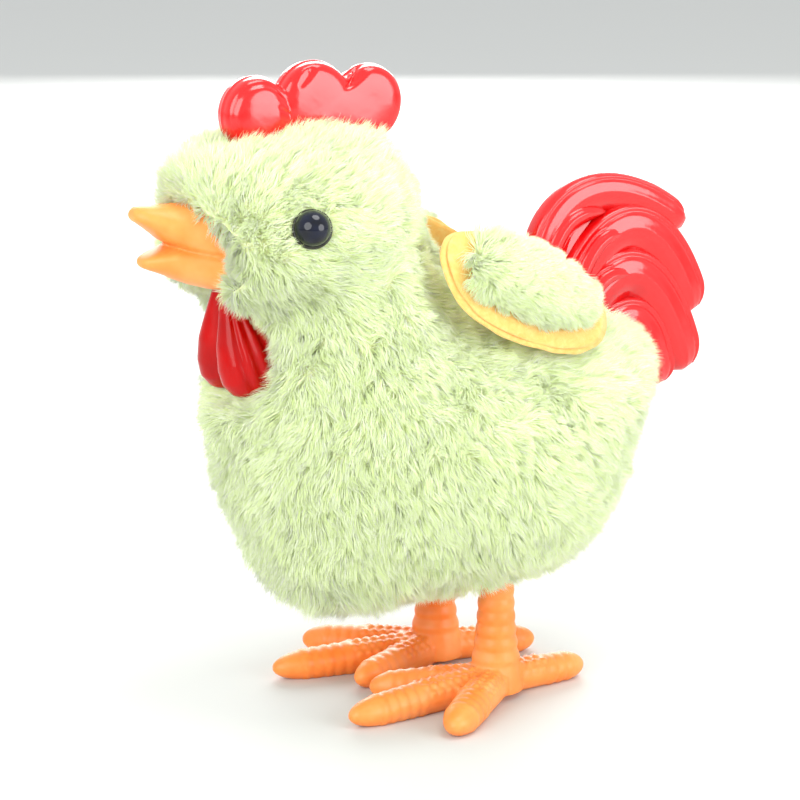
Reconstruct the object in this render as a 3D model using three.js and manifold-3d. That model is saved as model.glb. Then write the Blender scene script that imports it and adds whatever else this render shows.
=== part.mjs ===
// Wind-up hopping chicken: a plush-covered shell on two moulded legs, driven by a small clockwork box.
// Millimetres, +Z up. The chicken faces -Y and its left side is +X.
import * as THREE from 'three';
import { ConvexGeometry } from 'three/addons/geometries/ConvexGeometry.js';
import { LoftGeometry } from 'three/addons/geometries/LoftGeometry.js';
import { mergeVertices } from 'three/addons/utils/BufferGeometryUtils.js';
import Module from 'manifold-3d';

// ---- Driving dimensions ----
const GAP = 0.3; // between pieces that only touch
const RUNNING_GAP = 0.12; // between a shaft and its hole

// The covered body is a smooth blend of ellipsoids: centre (y, z), half sizes (x, y, z), tilt about X.
const BODY_BLOBS = [
  { y: -32, z: 76.3, half: [20.9, 19.6, 12.4], tilt: 21 }, // head
  { y: -37.5, z: 82.3, half: [13, 10.7, 6.2], tilt: 0 }, // forehead
  { y: -23.6, z: 50.7, half: [21.3, 18.6, 33.3], tilt: 0 }, // neck and breast
  { y: -2.1, z: 40.3, half: [26.6, 27.3, 24.3], tilt: 6 }, // belly
  { y: 7.4, z: 46.4, half: [21.8, 22.3, 9.3], tilt: 14.7 }, // rump
];
const BLEND = 7; // higher joins the ellipsoids more sharply
// Hollows that the beak and the wattle sit in: centre (y, z) and half sizes.
const BODY_DISHES = [
  { y: -54.5, z: 73.6, half: [17, 11.5, 8.2] },
  { y: -45.5, z: 58, half: [15, 8.2, 9.5] },
];
const DISH_BLEND = 16;
const BODY_CORE = new THREE.Vector3(0, -18, 54); // every point of the body is in plain sight of this one
const PLUSH_THICKNESS = 4.6;
const SHELL_THICKNESS = 1.4;

// Clockwork layout, (y, z) of each arbor, and the layers across the box in x.
const LEG_PIVOT = [0, 28];
const CRANK_ARBOR = [8.3, 40];
const MODULE = 0.5;
const MESH_SLACK = 0.12; // added to each centre distance
const GREAT_TEETH = 36;
const SECOND_TEETH = 27;
const THIRD_TEETH = 25;
const SECOND_PINION_TEETH = 9;
const THIRD_PINION_TEETH = 9;
const CRANK_PINION_TEETH = 10;
const THIRD_FROM_CRANK = 130; // directions from arbor to arbor, degrees from +Y towards +Z
const SECOND_FROM_THIRD = 230;
const GREAT_FROM_SECOND = 130;
const ARBOR_RADIUS = 0.9;
const PLATE_INNER = 5.5; // half the space between the gearbox plates
const PLATE_THICKNESS = 1;
const PLATE_OUTER = PLATE_INNER + PLATE_THICKNESS;
const GEARBOX_POSTS = [[-17, 36], [-18.5, 58.5], [-0.6, 54.4], [2.5, 33]];
const POST_RADIUS = 1.6;

// Crank and lever: the pin runs in a slot along the lever and rocks the leg.
const CRANK_THROW = 2;
const CRANK_PIN_RADIUS = 1;
const CRANK_DISC_RADIUS = 3.2;
const SLOT_SLACK = 0.32;
const LEVER_INNER = 7.9; // distance of the lever's inner face from the middle plane
const LEVER_THICKNESS = 2;

// Legs and feet, from the ankle point on the floor.
const ANKLE_X = 9.6;
const TOE_OUT = 7.4; // degrees
const TOES = [ // direction from straight ahead (outwards positive), length, half width, half height
  { turn: 0, length: 27.8, wide: 2.8, high: 2.6 },
  { turn: 35.7, length: 22.4, wide: 2.9, high: 2.6 },
  { turn: -30, length: 19.8, wide: 2.5, high: 2.5 },
  { turn: 180, length: 17.3, wide: 2.6, high: 2.4 },
];
const LEG_HOLE_HALF = [3.6, 5.6]; // half width and half length of the hole that a leg swings in

const LEG_SHAFT_RADIUS = 1.1;
const LEG_CAP_RADIUS = 2.2;

const KNOB_REACH = 38; // the grip's outer end, from the middle plane
const KNOB_STEM_INNER = 21.5;
const WINDING_SHAFT_RADIUS = 1.5;
const CLICK_STUD_RADIUS = 0.7;
const SCREW_SHANK = 0.7;
const THROUGH = 9; // half the length of a cutter that passes right through the gearbox
const ASIDE = 40; // further out than any piece is from the middle plane
const EYE_CENTRE = [19.6, -36.4, 78.2];
const EYE_RADIUS = 2.9;

const COLOURS = {
  plush: 0xe9f3c4, shell: 0xf2f0e6, comb: 0xe0262a, beak: 0xfba45c, wattle: 0xb00a0c, tail: 0xd81a1e,
  eye: 0x0b1224, felt: 0xfbd27a, gearbox: 0xdedbd0, gear: 0xf4f1e4, steel: 0xb9bcc0, spring: 0x8e949b,
  knob: 0xf5f2ea, leg: 0xfb9a4e, screw: 0xc6c8cc, crank: 0xe9e5d8,
};
const METALS = { steel: 0.3, spring: 0.35, screw: 0.3 }; // roughness of the bare metal pieces

// ---- Solids and placing ----
const wasm = await Module();
wasm.setup();

// A closed geometry as a solid that can be joined and cut.
function solid(geometry) {
  const bare = new THREE.BufferGeometry();
  bare.setAttribute('position', geometry.getAttribute('position'));
  bare.setIndex(geometry.getIndex());
  const merged = mergeVertices(bare, 1e-4);
  const corners = merged.index.array;
  const kept = [];
  for (let i = 0; i < corners.length; i += 3) {
    const [a, b, c] = corners.slice(i, i + 3);
    if (a !== b && b !== c && c !== a) kept.push(a, b, c);
  }
  return new wasm.Manifold(new wasm.Mesh({
    numProp: 3,
    vertProperties: new Float32Array(merged.attributes.position.array),
    triVerts: new Uint32Array(kept),
  }));
}

function geometryOf(shape) {
  const mesh = shape.getMesh();
  const geometry = new THREE.BufferGeometry();
  geometry.setAttribute('position', new THREE.BufferAttribute(mesh.vertProperties, 3));
  geometry.setIndex(new THREE.BufferAttribute(mesh.triVerts, 1));
  geometry.computeVertexNormals();
  return geometry;
}

const union = (shapes) => shapes.reduce((sum, next) => sum.add(next));
const without = (shape, cutters) => cutters.reduce((rest, cutter) => rest.subtract(cutter), shape);

// A solid moved by a place: a position and, optionally, a turn in degrees about X, Y and Z.
function moved(shape, { position = [0, 0, 0], turn = [0, 0, 0] }) {
  const matrix = new THREE.Matrix4().makeRotationFromEuler(eulerOf(turn)).setPosition(...position);
  return shape.transform(matrix.elements);
}

function eulerOf(turn) {
  return new THREE.Euler(...turn.map(THREE.MathUtils.degToRad));
}

function material(colour) {
  const metal = METALS[colour];
  const glossy = ['comb', 'wattle', 'tail', 'eye'].includes(colour);
  return new THREE.MeshStandardMaterial({
    color: COLOURS[colour],
    roughness: metal ?? (glossy ? 0.2 : colour === 'plush' || colour === 'felt' ? 0.95 : 0.5),
    metalness: metal ? 1 : 0,
  });
}

// A named mesh in a group, at a place.
function add(group, name, shape, colour, { position = [0, 0, 0], turn = [0, 0, 0] } = {}) {
  const mesh = new THREE.Mesh(geometryOf(shape), material(colour));
  mesh.name = name;
  mesh.position.set(...position);
  mesh.rotation.copy(eulerOf(turn));
  group.add(mesh);
  return mesh;
}

// A bar of round section along X, from x0 to x1, at (y, z).
function barX(radius, x0, x1, [y, z] = [0, 0], sides = 10) {
  const geometry = new THREE.CylinderGeometry(radius, radius, x1 - x0, sides);
  geometry.rotateZ(-Math.PI / 2);
  geometry.translate((x0 + x1) / 2, y, z);
  return solid(geometry);
}

// The radius of a round hole that clears a bar of the given radius all round, corners included.
const holeFor = (radius, sides = 10, gap = RUNNING_GAP) => (radius + gap) / Math.cos(Math.PI / sides);

// A flat outline drawn in (y, z), made x0 to x1 thick.
function slabX(outline, x0, x1, curveSegments = 8) {
  const geometry = new THREE.ExtrudeGeometry(outline, { depth: x1 - x0, bevelEnabled: false, curveSegments });
  geometry.rotateZ(Math.PI / 2);
  geometry.rotateY(Math.PI / 2);
  geometry.translate(x0, 0, 0);
  return solid(geometry);
}

// A rounded body along a curve: elliptical sections of half sizes wide(t) and high(t).
function sweep(curve, steps, sides, wide, high, sideways = new THREE.Vector3(1, 0, 0)) {
  const sections = [];
  for (let i = 0; i <= steps; i++) {
    const t = i / steps;
    const centre = curve.getPoint(t);
    const upward = new THREE.Vector3().crossVectors(curve.getTangent(t), sideways).normalize();
    const ring = [];
    for (let j = 0; j < sides; j++) {
      const angle = (j / sides) * 2 * Math.PI;
      ring.push(centre.clone()
        .addScaledVector(sideways, wide(t) * Math.cos(angle))
        .addScaledVector(upward, high(t) * Math.sin(angle)));
    }
    sections.push(ring);
  }
  return solid(new LoftGeometry(sections, { capStart: true, capEnd: true }));
}

function ellipsoid(centre, half, turn, coarse) {
  const geometry = coarse ? new THREE.SphereGeometry(1, 8, 5) : new THREE.SphereGeometry(1, 11, 8);
  geometry.scale(...half);
  return moved(solid(geometry), { position: centre, turn });
}

// ---- The covered body ----
// Below zero inside the body, above zero outside it.
function bodyField(point) {
  let sum = 0;
  for (const { y, z, half, tilt } of BODY_BLOBS) {
    const angle = THREE.MathUtils.degToRad(tilt);
    const dy = point.y - y;
    const dz = point.z - z;
    const along = (dy * Math.cos(angle) + dz * Math.sin(angle)) / half[1];
    const above = (dz * Math.cos(angle) - dy * Math.sin(angle)) / half[2];
    sum += Math.exp(-BLEND * (Math.hypot(point.x / half[0], along, above) - 1));
  }
  let carved = Math.exp((-DISH_BLEND * Math.log(sum)) / BLEND);
  for (const { y, z, half } of BODY_DISHES) {
    const reach = Math.hypot(point.x / half[0], (point.y - y) / half[1], (point.z - z) / half[2]);
    carved += Math.exp(DISH_BLEND * (1 - reach));
  }
  return Math.log(carved) / DISH_BLEND;
}

function fieldNormal(point) {
  const step = 0.05;
  const slope = (axis) => {
    const ahead = point.clone();
    const behind = point.clone();
    ahead[axis] += step;
    behind[axis] -= step;
    return bodyField(ahead) - bodyField(behind);
  };
  return new THREE.Vector3(slope('x'), slope('y'), slope('z')).normalize();
}

// The body's surface point in a direction from its core.
function surfaceAlong(direction) {
  let near = 0;
  let far = 80;
  const point = new THREE.Vector3();
  for (let i = 0; i < 24; i++) {
    const middle = (near + far) / 2;
    point.copy(BODY_CORE).addScaledVector(direction, middle);
    if (bodyField(point) < 0) near = middle;
    else far = middle;
  }
  return point;
}

// A solid bounded by the body's surface, moved inwards by depth.
function skin(depth, around, along) {
  const geometry = new THREE.SphereGeometry(1, around, along);
  geometry.rotateX(Math.PI / 2);
  const corners = geometry.attributes.position;
  for (let i = 0; i < corners.count; i++) {
    const direction = new THREE.Vector3().fromBufferAttribute(corners, i).normalize();
    const point = surfaceAlong(direction);
    point.addScaledVector(fieldNormal(point), -depth);
    corners.setXYZ(i, point.x, point.y, point.z);
  }
  return solid(geometry);
}

// ---- Red and orange trim ----
// Each piece is grown by a margin, and made of fewer faces, when it cuts its own place in the plush.
const POCKET_MARGIN = 0.9;
const STEM_RADIUS = 2;
const STEM_FLANGE = 3.2;

// A stem along -Z from the piece's root, with a flange at its inner end.
function stem(length, grow = 0, flange = true) {
  const shaft = new THREE.CylinderGeometry(STEM_RADIUS + grow, STEM_RADIUS + grow, length, 10);
  shaft.rotateX(Math.PI / 2);
  shaft.translate(0, 0, -length / 2);
  if (!flange) return solid(shaft);
  const disc = new THREE.CylinderGeometry(STEM_FLANGE, STEM_FLANGE, 1, 10);
  disc.rotateX(Math.PI / 2);
  disc.translate(0, 0, -length - 0.4);
  return solid(shaft).add(solid(disc));
}

const COMB_PLACE = { position: [0, -25.5, 90] };
function comb(grow = 0) {
  const lobes = [ // centre (y, z) from the comb's root, half sizes, lean
    { y: -9.9, z: 1.6, half: [3.3, 5.3, 6.1], lean: 8 },
    { y: -0.6, z: 2.2, half: [3.1, 5.9, 7.2], lean: 0 },
    { y: 8.2, z: 2.1, half: [3, 5.2, 6.3], lean: -14 },
  ];
  return union(lobes.map(({ y, z, half, lean }) =>
    ellipsoid([0, y, z], half.map((size) => size + grow), [lean, 0, 0], grow > 0)));
}

const BEAK_PLACE = { position: [0, -43.2, 74] };
function beak(grow = 0) {
  const taper = (from, to, wide, high) => {
    const curve = new THREE.LineCurve3(new THREE.Vector3(...from), new THREE.Vector3(...to));
    const round = (t) => Math.sqrt(1 - Math.max(0, (t - 0.78) / 0.225) ** 2);
    return sweep(curve, grow ? 4 : 6, grow ? 8 : 10, (t) => wide(t) * round(t) + grow,
      (t) => high(t) * round(t) + grow);
  };
  const upper = taper([0, 0.8, 2.2], [0, -12.3, 4.9], (t) => 7.7 - 5.5 * t, (t) => 4.7 - 3 * t);
  const lower = taper([0, 0.8, -2.6], [0, -11.2, -2.9], (t) => 7.4 - 5.2 * t, (t) => 3.9 - 2.2 * t);
  return upper.add(lower);
}

const WATTLE_PLACE = { position: [0, -38.3, 66.4] };
function wattle(grow = 0) {
  const lobe = (side) => {
    const curve = new THREE.QuadraticBezierCurve3(
      new THREE.Vector3(side * 1, -2.7, 1.2),
      new THREE.Vector3(side * 3.1, -1.7, -6),
      new THREE.Vector3(side * 3.9, 1.5, -15.5),
    );
    const full = (t) => Math.sin(Math.PI * Math.min(1, 0.14 + 0.87 * t ** 1.35)) ** 0.62;
    return sweep(curve, grow ? 5 : 8, grow ? 8 : 10, (t) => 0.4 + 3.8 * full(t) + grow,
      (t) => 0.4 + 5 * full(t) + grow);
  };
  return lobe(1).add(lobe(-1));
}

const TAIL_PLACE = { position: [0, 19, 58] };
function tail(grow = 0) {
  const feathers = [ // control points (y, z) from the tail's root, half breadth, half thickness
    { path: [[-5, 1], [-2, 19.5], [12, 20.5], [21.2, 12.6]], breadth: 4.9, thick: 2.7 },
    { path: [[-2, -1], [6, 15], [19, 13], [24.4, -0.6]], breadth: 5.6, thick: 3.3 },
    { path: [[0, -3], [10, 10], [19.5, 5], [23.4, -10.8]], breadth: 5.1, thick: 3.9 },
    { path: [[1, -5], [9, 4], [15.5, -1], [17.4, -12.6]], breadth: 4.6, thick: 4.2 },
  ];
  return union(feathers.map(({ path, breadth, thick }) => {
    const curve = new THREE.CubicBezierCurve3(...path.map(([y, z]) => new THREE.Vector3(0, y, z)));
    const closing = (t) => Math.sqrt(1 - Math.max(0, (t - 0.86) / 0.145) ** 2);
    const full = (t) => closing(t) * (0.86 + 0.32 * t - 0.5 * t ** 3);
    return sweep(curve, grow ? 5 : 8, grow ? 6 : 8, (t) => thick * full(t) * (1 - 0.35 * t) + grow,
      (t) => breadth * full(t) + grow);
  }));
}

const EYE_STEM = 13.2;
function eye(grow = 0) {
  const bead = new THREE.SphereGeometry(EYE_RADIUS + grow, 12, 8);
  return solid(bead).add(barX(1 + grow, -EYE_STEM, -1));
}

const mirroredEye = (grow = 0) => eye(grow).mirror([1, 0, 0]);
const eyePlace = (side) => ({ position: [side * EYE_CENTRE[0], EYE_CENTRE[1], EYE_CENTRE[2]] });

// ---- Wings: a felt leaf with a plush pad on it ----
const WING_TILT = 27; // the leaf faces out and up
const WING_DROOP = -20; // its rear end hangs lower
const WING_LENGTH = 30.5;
const WING_BREADTH = 15.6;
const FELT_THICKNESS = 1.2;
const PAD_HEIGHT = 6;
const PAD_INSET = [2.5, 1.3]; // how much of the felt shows at the leaf's ends and along its sides
const PAD_SHIFT = [-0.6, 1]; // rearwards and up from the leaf's middle
const wingPlace = (side) => ({ position: [side * 19.6, -1.6, 65.2], turn: [WING_DROOP, 0, 0], side });

// The leaf's outline in its own plane: u runs to the rear, v up. The front end is the fuller one.
function leafOutline(margin = 0) {
  const halfLength = WING_LENGTH / 2 + margin;
  const halfBreadth = WING_BREADTH / 2 + margin;
  const outline = new THREE.Shape();
  outline.moveTo(-halfLength, halfBreadth * 0.35);
  outline.bezierCurveTo(-halfLength, -halfBreadth * 0.4, -halfLength * 0.6, -halfBreadth, 0, -halfBreadth);
  outline.bezierCurveTo(halfLength * 0.6, -halfBreadth, halfLength, -halfBreadth * 0.8, halfLength, 0);
  outline.bezierCurveTo(halfLength, halfBreadth * 0.7, halfLength * 0.5, halfBreadth, 0, halfBreadth);
  outline.bezierCurveTo(
    -halfLength * 0.6, halfBreadth, -halfLength, halfBreadth, -halfLength, halfBreadth * 0.35,
  );
  return outline;
}

// A leaf-shaped slab lying against the body's side, from w0 to w1 outwards, tilted to face up.
function leafSlab(side, w0, w1, margin = 0) {
  const leaf = moved(slabX(leafOutline(margin), w0, w1, 6), { turn: [0, -WING_TILT, 0] });
  return side > 0 ? leaf : leaf.mirror([1, 0, 0]);
}

// The pad is a low dome on the leaf's face, set back from its edge.
function wingPad(side) {
  const profile = [new THREE.Vector2(0, 0)];
  for (let i = 0; i <= 5; i++) {
    const angle = (i / 5) * (Math.PI / 2);
    profile.push(new THREE.Vector2(Math.cos(angle) ** 0.8, 0.12 + 0.88 * Math.sin(angle)));
  }
  profile[profile.length - 1].x = 0;
  profile.splice(1, 0, new THREE.Vector2(1, 0));
  const dome = new THREE.LatheGeometry(profile, 18);
  dome.rotateZ(-Math.PI / 2);
  dome.scale(PAD_HEIGHT, WING_LENGTH / 2 - PAD_INSET[0], WING_BREADTH / 2 - PAD_INSET[1]);
  dome.translate(FELT_THICKNESS + GAP, ...PAD_SHIFT);
  const pad = moved(solid(dome), { turn: [0, -WING_TILT, 0] });
  return side > 0 ? pad : pad.mirror([1, 0, 0]);
}

// ---- Gears ----
const pitchRadius = (teeth) => (teeth * MODULE) / 2;
const directionYZ = (degrees) => [
  Math.cos(THREE.MathUtils.degToRad(degrees)),
  Math.sin(THREE.MathUtils.degToRad(degrees)),
];
function arborFrom([y, z], degrees, teethA, teethB) {
  const [dy, dz] = directionYZ(degrees);
  const distance = pitchRadius(teethA) + pitchRadius(teethB) + MESH_SLACK;
  return [y + distance * dy, z + distance * dz];
}
const THIRD_ARBOR = arborFrom(CRANK_ARBOR, THIRD_FROM_CRANK, CRANK_PINION_TEETH, THIRD_TEETH);
const SECOND_ARBOR = arborFrom(THIRD_ARBOR, SECOND_FROM_THIRD, THIRD_PINION_TEETH, SECOND_TEETH);
const GREAT_ARBOR = arborFrom(SECOND_ARBOR, GREAT_FROM_SECOND, SECOND_PINION_TEETH, GREAT_TEETH);

// Where a gear's first tooth points, so that it meets the teeth of a gear already placed.
// direction is from the placed gear to the new one, in degrees.
function meshedPhase(placedTeeth, placedPhase, direction, teeth) {
  const placed = ((direction - placedPhase) * placedTeeth) / 360;
  return direction + 180 - ((0.5 - placed) * 360) / teeth;
}

// Toothed outline with its first tooth at the phase, in degrees from +Y towards +Z.
// The small pinions have a corner at the pitch circle; on the big wheels the flanks are nearly straight.
function gear(teeth, phase, x0, x1, hole = 0) {
  const pitch = 360 / teeth;
  const radius = pitchRadius(teeth);
  const corners = [ // (share of the pitch from the tooth's middle, radius)
    [-0.31, radius - 1.2 * MODULE], [-0.2, radius], [-0.1, radius + 0.85 * MODULE],
    [0.1, radius + 0.85 * MODULE], [0.2, radius], [0.31, radius - 1.2 * MODULE],
  ];
  const flanks = teeth > 12 ? corners.filter(([, reach]) => reach !== radius) : corners;
  const points = [];
  for (let tooth = 0; tooth < teeth; tooth++) {
    for (const [share, reach] of flanks) {
      const [dy, dz] = directionYZ(phase + (tooth + share) * pitch);
      points.push(new THREE.Vector2(reach * dy, reach * dz));
    }
  }
  const outline = new THREE.Shape(points);
  if (hole > 0) outline.holes.push(new THREE.Path().absarc(0, 0, hole, 0, 2 * Math.PI, true));
  return slabX(outline, x0, x1);
}

const crankPhase = 0;
const thirdPhase = meshedPhase(CRANK_PINION_TEETH, crankPhase, THIRD_FROM_CRANK, THIRD_TEETH);
const secondPhase = meshedPhase(THIRD_PINION_TEETH, thirdPhase, SECOND_FROM_THIRD, SECOND_TEETH);
const greatPhase = meshedPhase(SECOND_PINION_TEETH, secondPhase, GREAT_FROM_SECOND, GREAT_TEETH);

// Layers across the box.
const GREAT_LAYER = [0.2, 1.4];
const SECOND_LAYER = [2.2, 3.2];
const THIRD_LAYER = [4, 5];
const RATCHET_LAYER = [-1.1, -0.1];
const SPRING_LAYER = [-5.1, -1.5];
const LAYER_MARGIN = 0.3; // a pinion is wider than the wheel that it meets

const pivotEnds = [-PLATE_OUTER, PLATE_OUTER];
const wheelWithPinion = (teeth, phase, layer, pinionTeeth, pinionPhase, metLayer) => union([
  gear(teeth, phase, ...layer),
  gear(pinionTeeth, pinionPhase, metLayer[0] - LAYER_MARGIN, metLayer[1] + LAYER_MARGIN),
  barX(ARBOR_RADIUS, ...pivotEnds),
]);

// ---- Winding ----
const RATCHET_RADIUS = 4;
const RATCHET_TEETH = 10;
const RATCHET_TOOTH_DEPTH = 0.9;
const RATCHET_UNDERCUT = 0.08; // of a tooth's pitch

function ratchetWheel() {
  const outline = new THREE.Shape();
  for (let tooth = 0; tooth < RATCHET_TEETH; tooth++) {
    const [ty, tz] = directionYZ((tooth * 360) / RATCHET_TEETH);
    const [ry, rz] = directionYZ(((tooth + RATCHET_UNDERCUT) * 360) / RATCHET_TEETH);
    if (tooth === 0) outline.moveTo(RATCHET_RADIUS * ty, RATCHET_RADIUS * tz);
    else outline.lineTo(RATCHET_RADIUS * ty, RATCHET_RADIUS * tz);
    outline.lineTo((RATCHET_RADIUS - RATCHET_TOOTH_DEPTH) * ry, (RATCHET_RADIUS - RATCHET_TOOTH_DEPTH) * rz);
  }
  outline.closePath();
  const bore = barX(holeFor(WINDING_SHAFT_RADIUS), -THROUGH, THROUGH);
  return slabX(outline, ...RATCHET_LAYER).subtract(bore);
}

// A leaf click on a stud, its tip just clear of the ratchet's teeth.
function ratchetClick() {
  const outline = new THREE.Shape();
  outline.absarc(0, 0, 1.5, Math.PI * 0.7, Math.PI * 1.7, false);
  outline.lineTo(6.2, 1.9);
  outline.lineTo(5.9, 2.4);
  outline.closePath();
  outline.holes.push(new THREE.Path().absarc(0, 0, holeFor(CLICK_STUD_RADIUS), 0, 2 * Math.PI, true));
  return slabX(outline, ...RATCHET_LAYER, 5);
}

const SPRING_TURNS = 3.5;
const SPRING_INNER = 2.6;
const SPRING_OUTER = 8.4;
const SPRING_STRIP = 0.45;
function mainspring() {
  const steps = 49;
  const edge = (offset) => {
    const points = [];
    for (let i = 0; i <= steps; i++) {
      const radius = SPRING_INNER + ((SPRING_OUTER - SPRING_INNER) * i) / steps + offset;
      const [dy, dz] = directionYZ((i * 360 * SPRING_TURNS) / steps);
      points.push(new THREE.Vector2(radius * dy, radius * dz));
    }
    return points;
  };
  const outline = new THREE.Shape([...edge(SPRING_STRIP), ...edge(0).reverse()]);
  return slabX(outline, ...SPRING_LAYER);
}

function windingShaft() {
  return barX(WINDING_SHAFT_RADIUS, -KNOB_REACH + 6, PLATE_OUTER, [0, 0]);
}

function windingKnob() {
  const hub = barX(3.2, -KNOB_REACH + 5, -KNOB_STEM_INNER, [0, 0], 18);
  const grip = new THREE.Shape();
  grip.moveTo(-1.6, -6.5);
  grip.absarc(0, -6.2, 1.7, Math.PI, 0, false);
  grip.lineTo(1.7, 6.2);
  grip.absarc(0, 6.2, 1.7, 0, Math.PI, false);
  grip.closePath();
  const blade = slabX(grip, -KNOB_REACH, -KNOB_REACH + 9.5, 6);
  const bore = barX(holeFor(WINDING_SHAFT_RADIUS), -KNOB_REACH + 5.5, 0);
  return hub.add(blade).subtract(bore);
}

// ---- Gearbox ----
const rim = ([y, z], radius, x) => Array.from({ length: 10 }, (_, i) => {
  const [dy, dz] = directionYZ(i * 36);
  return new THREE.Vector3(x, y + radius * dy, z + radius * dz);
});

function plateBlank(x0, x1) {
  const rims = [
    [GREAT_ARBOR, 9.9], [THIRD_ARBOR, 7.4], [CRANK_ARBOR, 3.2], [LEG_PIVOT, 2.4],
    ...GEARBOX_POSTS.map((post) => [post, 1.9]),
  ];
  const points = rims.flatMap(([centre, radius]) => [...rim(centre, radius, x0), ...rim(centre, radius, x1)]);
  return solid(new ConvexGeometry(points));
}

const plateHoles = () => [
  ...[SECOND_ARBOR, THIRD_ARBOR, CRANK_ARBOR].map((arbor) =>
    barX(holeFor(ARBOR_RADIUS), -THROUGH, THROUGH, arbor)),
  barX(holeFor(WINDING_SHAFT_RADIUS), -THROUGH, THROUGH, GREAT_ARBOR),
  barX(holeFor(LEG_SHAFT_RADIUS), -THROUGH, THROUGH, LEG_PIVOT),
];
const CLICK_STUD = [GREAT_ARBOR[0] - 7.1, GREAT_ARBOR[1] - 6.5];

function gearboxPlateLeft() {
  const posts = GEARBOX_POSTS.map((post) => barX(POST_RADIUS, -PLATE_INNER + GAP, PLATE_INNER + 0.2, post));
  const screwHoles = GEARBOX_POSTS.map((post) => barX(holeFor(SCREW_SHANK), -THROUGH, 3, post));
  return without(union([plateBlank(PLATE_INNER, PLATE_OUTER), ...posts]), [...plateHoles(), ...screwHoles]);
}

function gearboxPlateRight() {
  const screwHoles = GEARBOX_POSTS.map((post) => barX(holeFor(SCREW_SHANK), -THROUGH, THROUGH, post));
  const stud = barX(CLICK_STUD_RADIUS, -PLATE_INNER - 0.2, RATCHET_LAYER[1], CLICK_STUD);
  return without(plateBlank(-PLATE_OUTER, -PLATE_INNER).add(stud), [...plateHoles(), ...screwHoles]);
}

// A pan-head screw along X, its head outside the plane x = seat.
function screw(seat, length, headRadius = 1.4) {
  const head = barX(headRadius, seat - GAP - 0.9, seat - GAP);
  const slot = new THREE.BoxGeometry(0.5, headRadius * 1.6, 0.4);
  slot.translate(seat - GAP - 0.9, 0, 0);
  return head.add(barX(SCREW_SHANK, seat - GAP - 0.1, seat + length)).subtract(solid(slot));
}

// ---- Cranks and legs ----
const leverRun = [CRANK_ARBOR[0] - LEG_PIVOT[0], CRANK_ARBOR[1] - LEG_PIVOT[1]];
const LEVER_LENGTH = Math.hypot(...leverRun);
const LEVER_ANGLE = THREE.MathUtils.radToDeg(Math.atan2(leverRun[1], leverRun[0]));

// A crank disc on the arbor's end; its pin starts at the lever's far end.
function crank(side) {
  const [dy, dz] = directionYZ(LEVER_ANGLE);
  const span = (a, b) => (side > 0 ? [a, b] : [-b, -a]);
  const disc = barX(CRANK_DISC_RADIUS, ...span(PLATE_OUTER + GAP, LEVER_INNER - GAP), [0, 0], 14);
  const pin = barX(CRANK_PIN_RADIUS, ...span(LEVER_INNER - GAP - 0.2, LEVER_INNER + LEVER_THICKNESS + 0.6),
    [CRANK_THROW * dy, CRANK_THROW * dz]);
  return disc.add(pin).subtract(barX(holeFor(ARBOR_RADIUS), ...span(0, LEVER_INNER - GAP - 0.3)));
}

function legLever() {
  const outline = new THREE.Shape();
  const [dy, dz] = directionYZ(LEVER_ANGLE);
  const turn = THREE.MathUtils.degToRad(LEVER_ANGLE);
  const far = LEVER_LENGTH + CRANK_THROW;
  const near = Math.hypot(LEVER_LENGTH, CRANK_THROW) - 0.6;
  outline.absarc(0, 0, 3.2, turn + Math.PI / 2, turn + (3 * Math.PI) / 2, false);
  outline.absarc(far * dy, far * dz, 2.9, turn - Math.PI / 2, turn + Math.PI / 2, false);
  outline.closePath();
  const slot = new THREE.Path();
  const slotRadius = CRANK_PIN_RADIUS + SLOT_SLACK;
  slot.absarc(near * dy, near * dz, slotRadius, turn + Math.PI / 2, turn + (3 * Math.PI) / 2, false);
  slot.absarc(far * dy, far * dz, slotRadius, turn - Math.PI / 2, turn + Math.PI / 2, false);
  slot.closePath();
  outline.holes.push(slot);
  return slabX(outline, LEVER_INNER, LEVER_INNER + LEVER_THICKNESS, 5);
}

// One foot's toes, from the ankle point on the floor, for the left foot.
function toe({ turn, length, wide, high }) {
  const heading = THREE.MathUtils.degToRad(turn + TOE_OUT);
  const ahead = new THREE.Vector3(Math.sin(heading), -Math.cos(heading), 0);
  const centreHeight = 2.1;
  const curve = new THREE.LineCurve3(
    new THREE.Vector3(0, 0, centreHeight + 0.4),
    ahead.clone().multiplyScalar(length).setZ(centreHeight - 0.3),
  );
  const round = (t) => Math.sqrt(1 - Math.max(0, (t - 0.88) / 0.125) ** 2);
  const sideways = new THREE.Vector3(-ahead.y, ahead.x, 0);
  return sweep(curve, 6, 8, (t) => wide * round(t) * (1 - 0.1 * t), (t) => high * round(t) * (1 - 0.12 * t),
    sideways);
}

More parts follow.
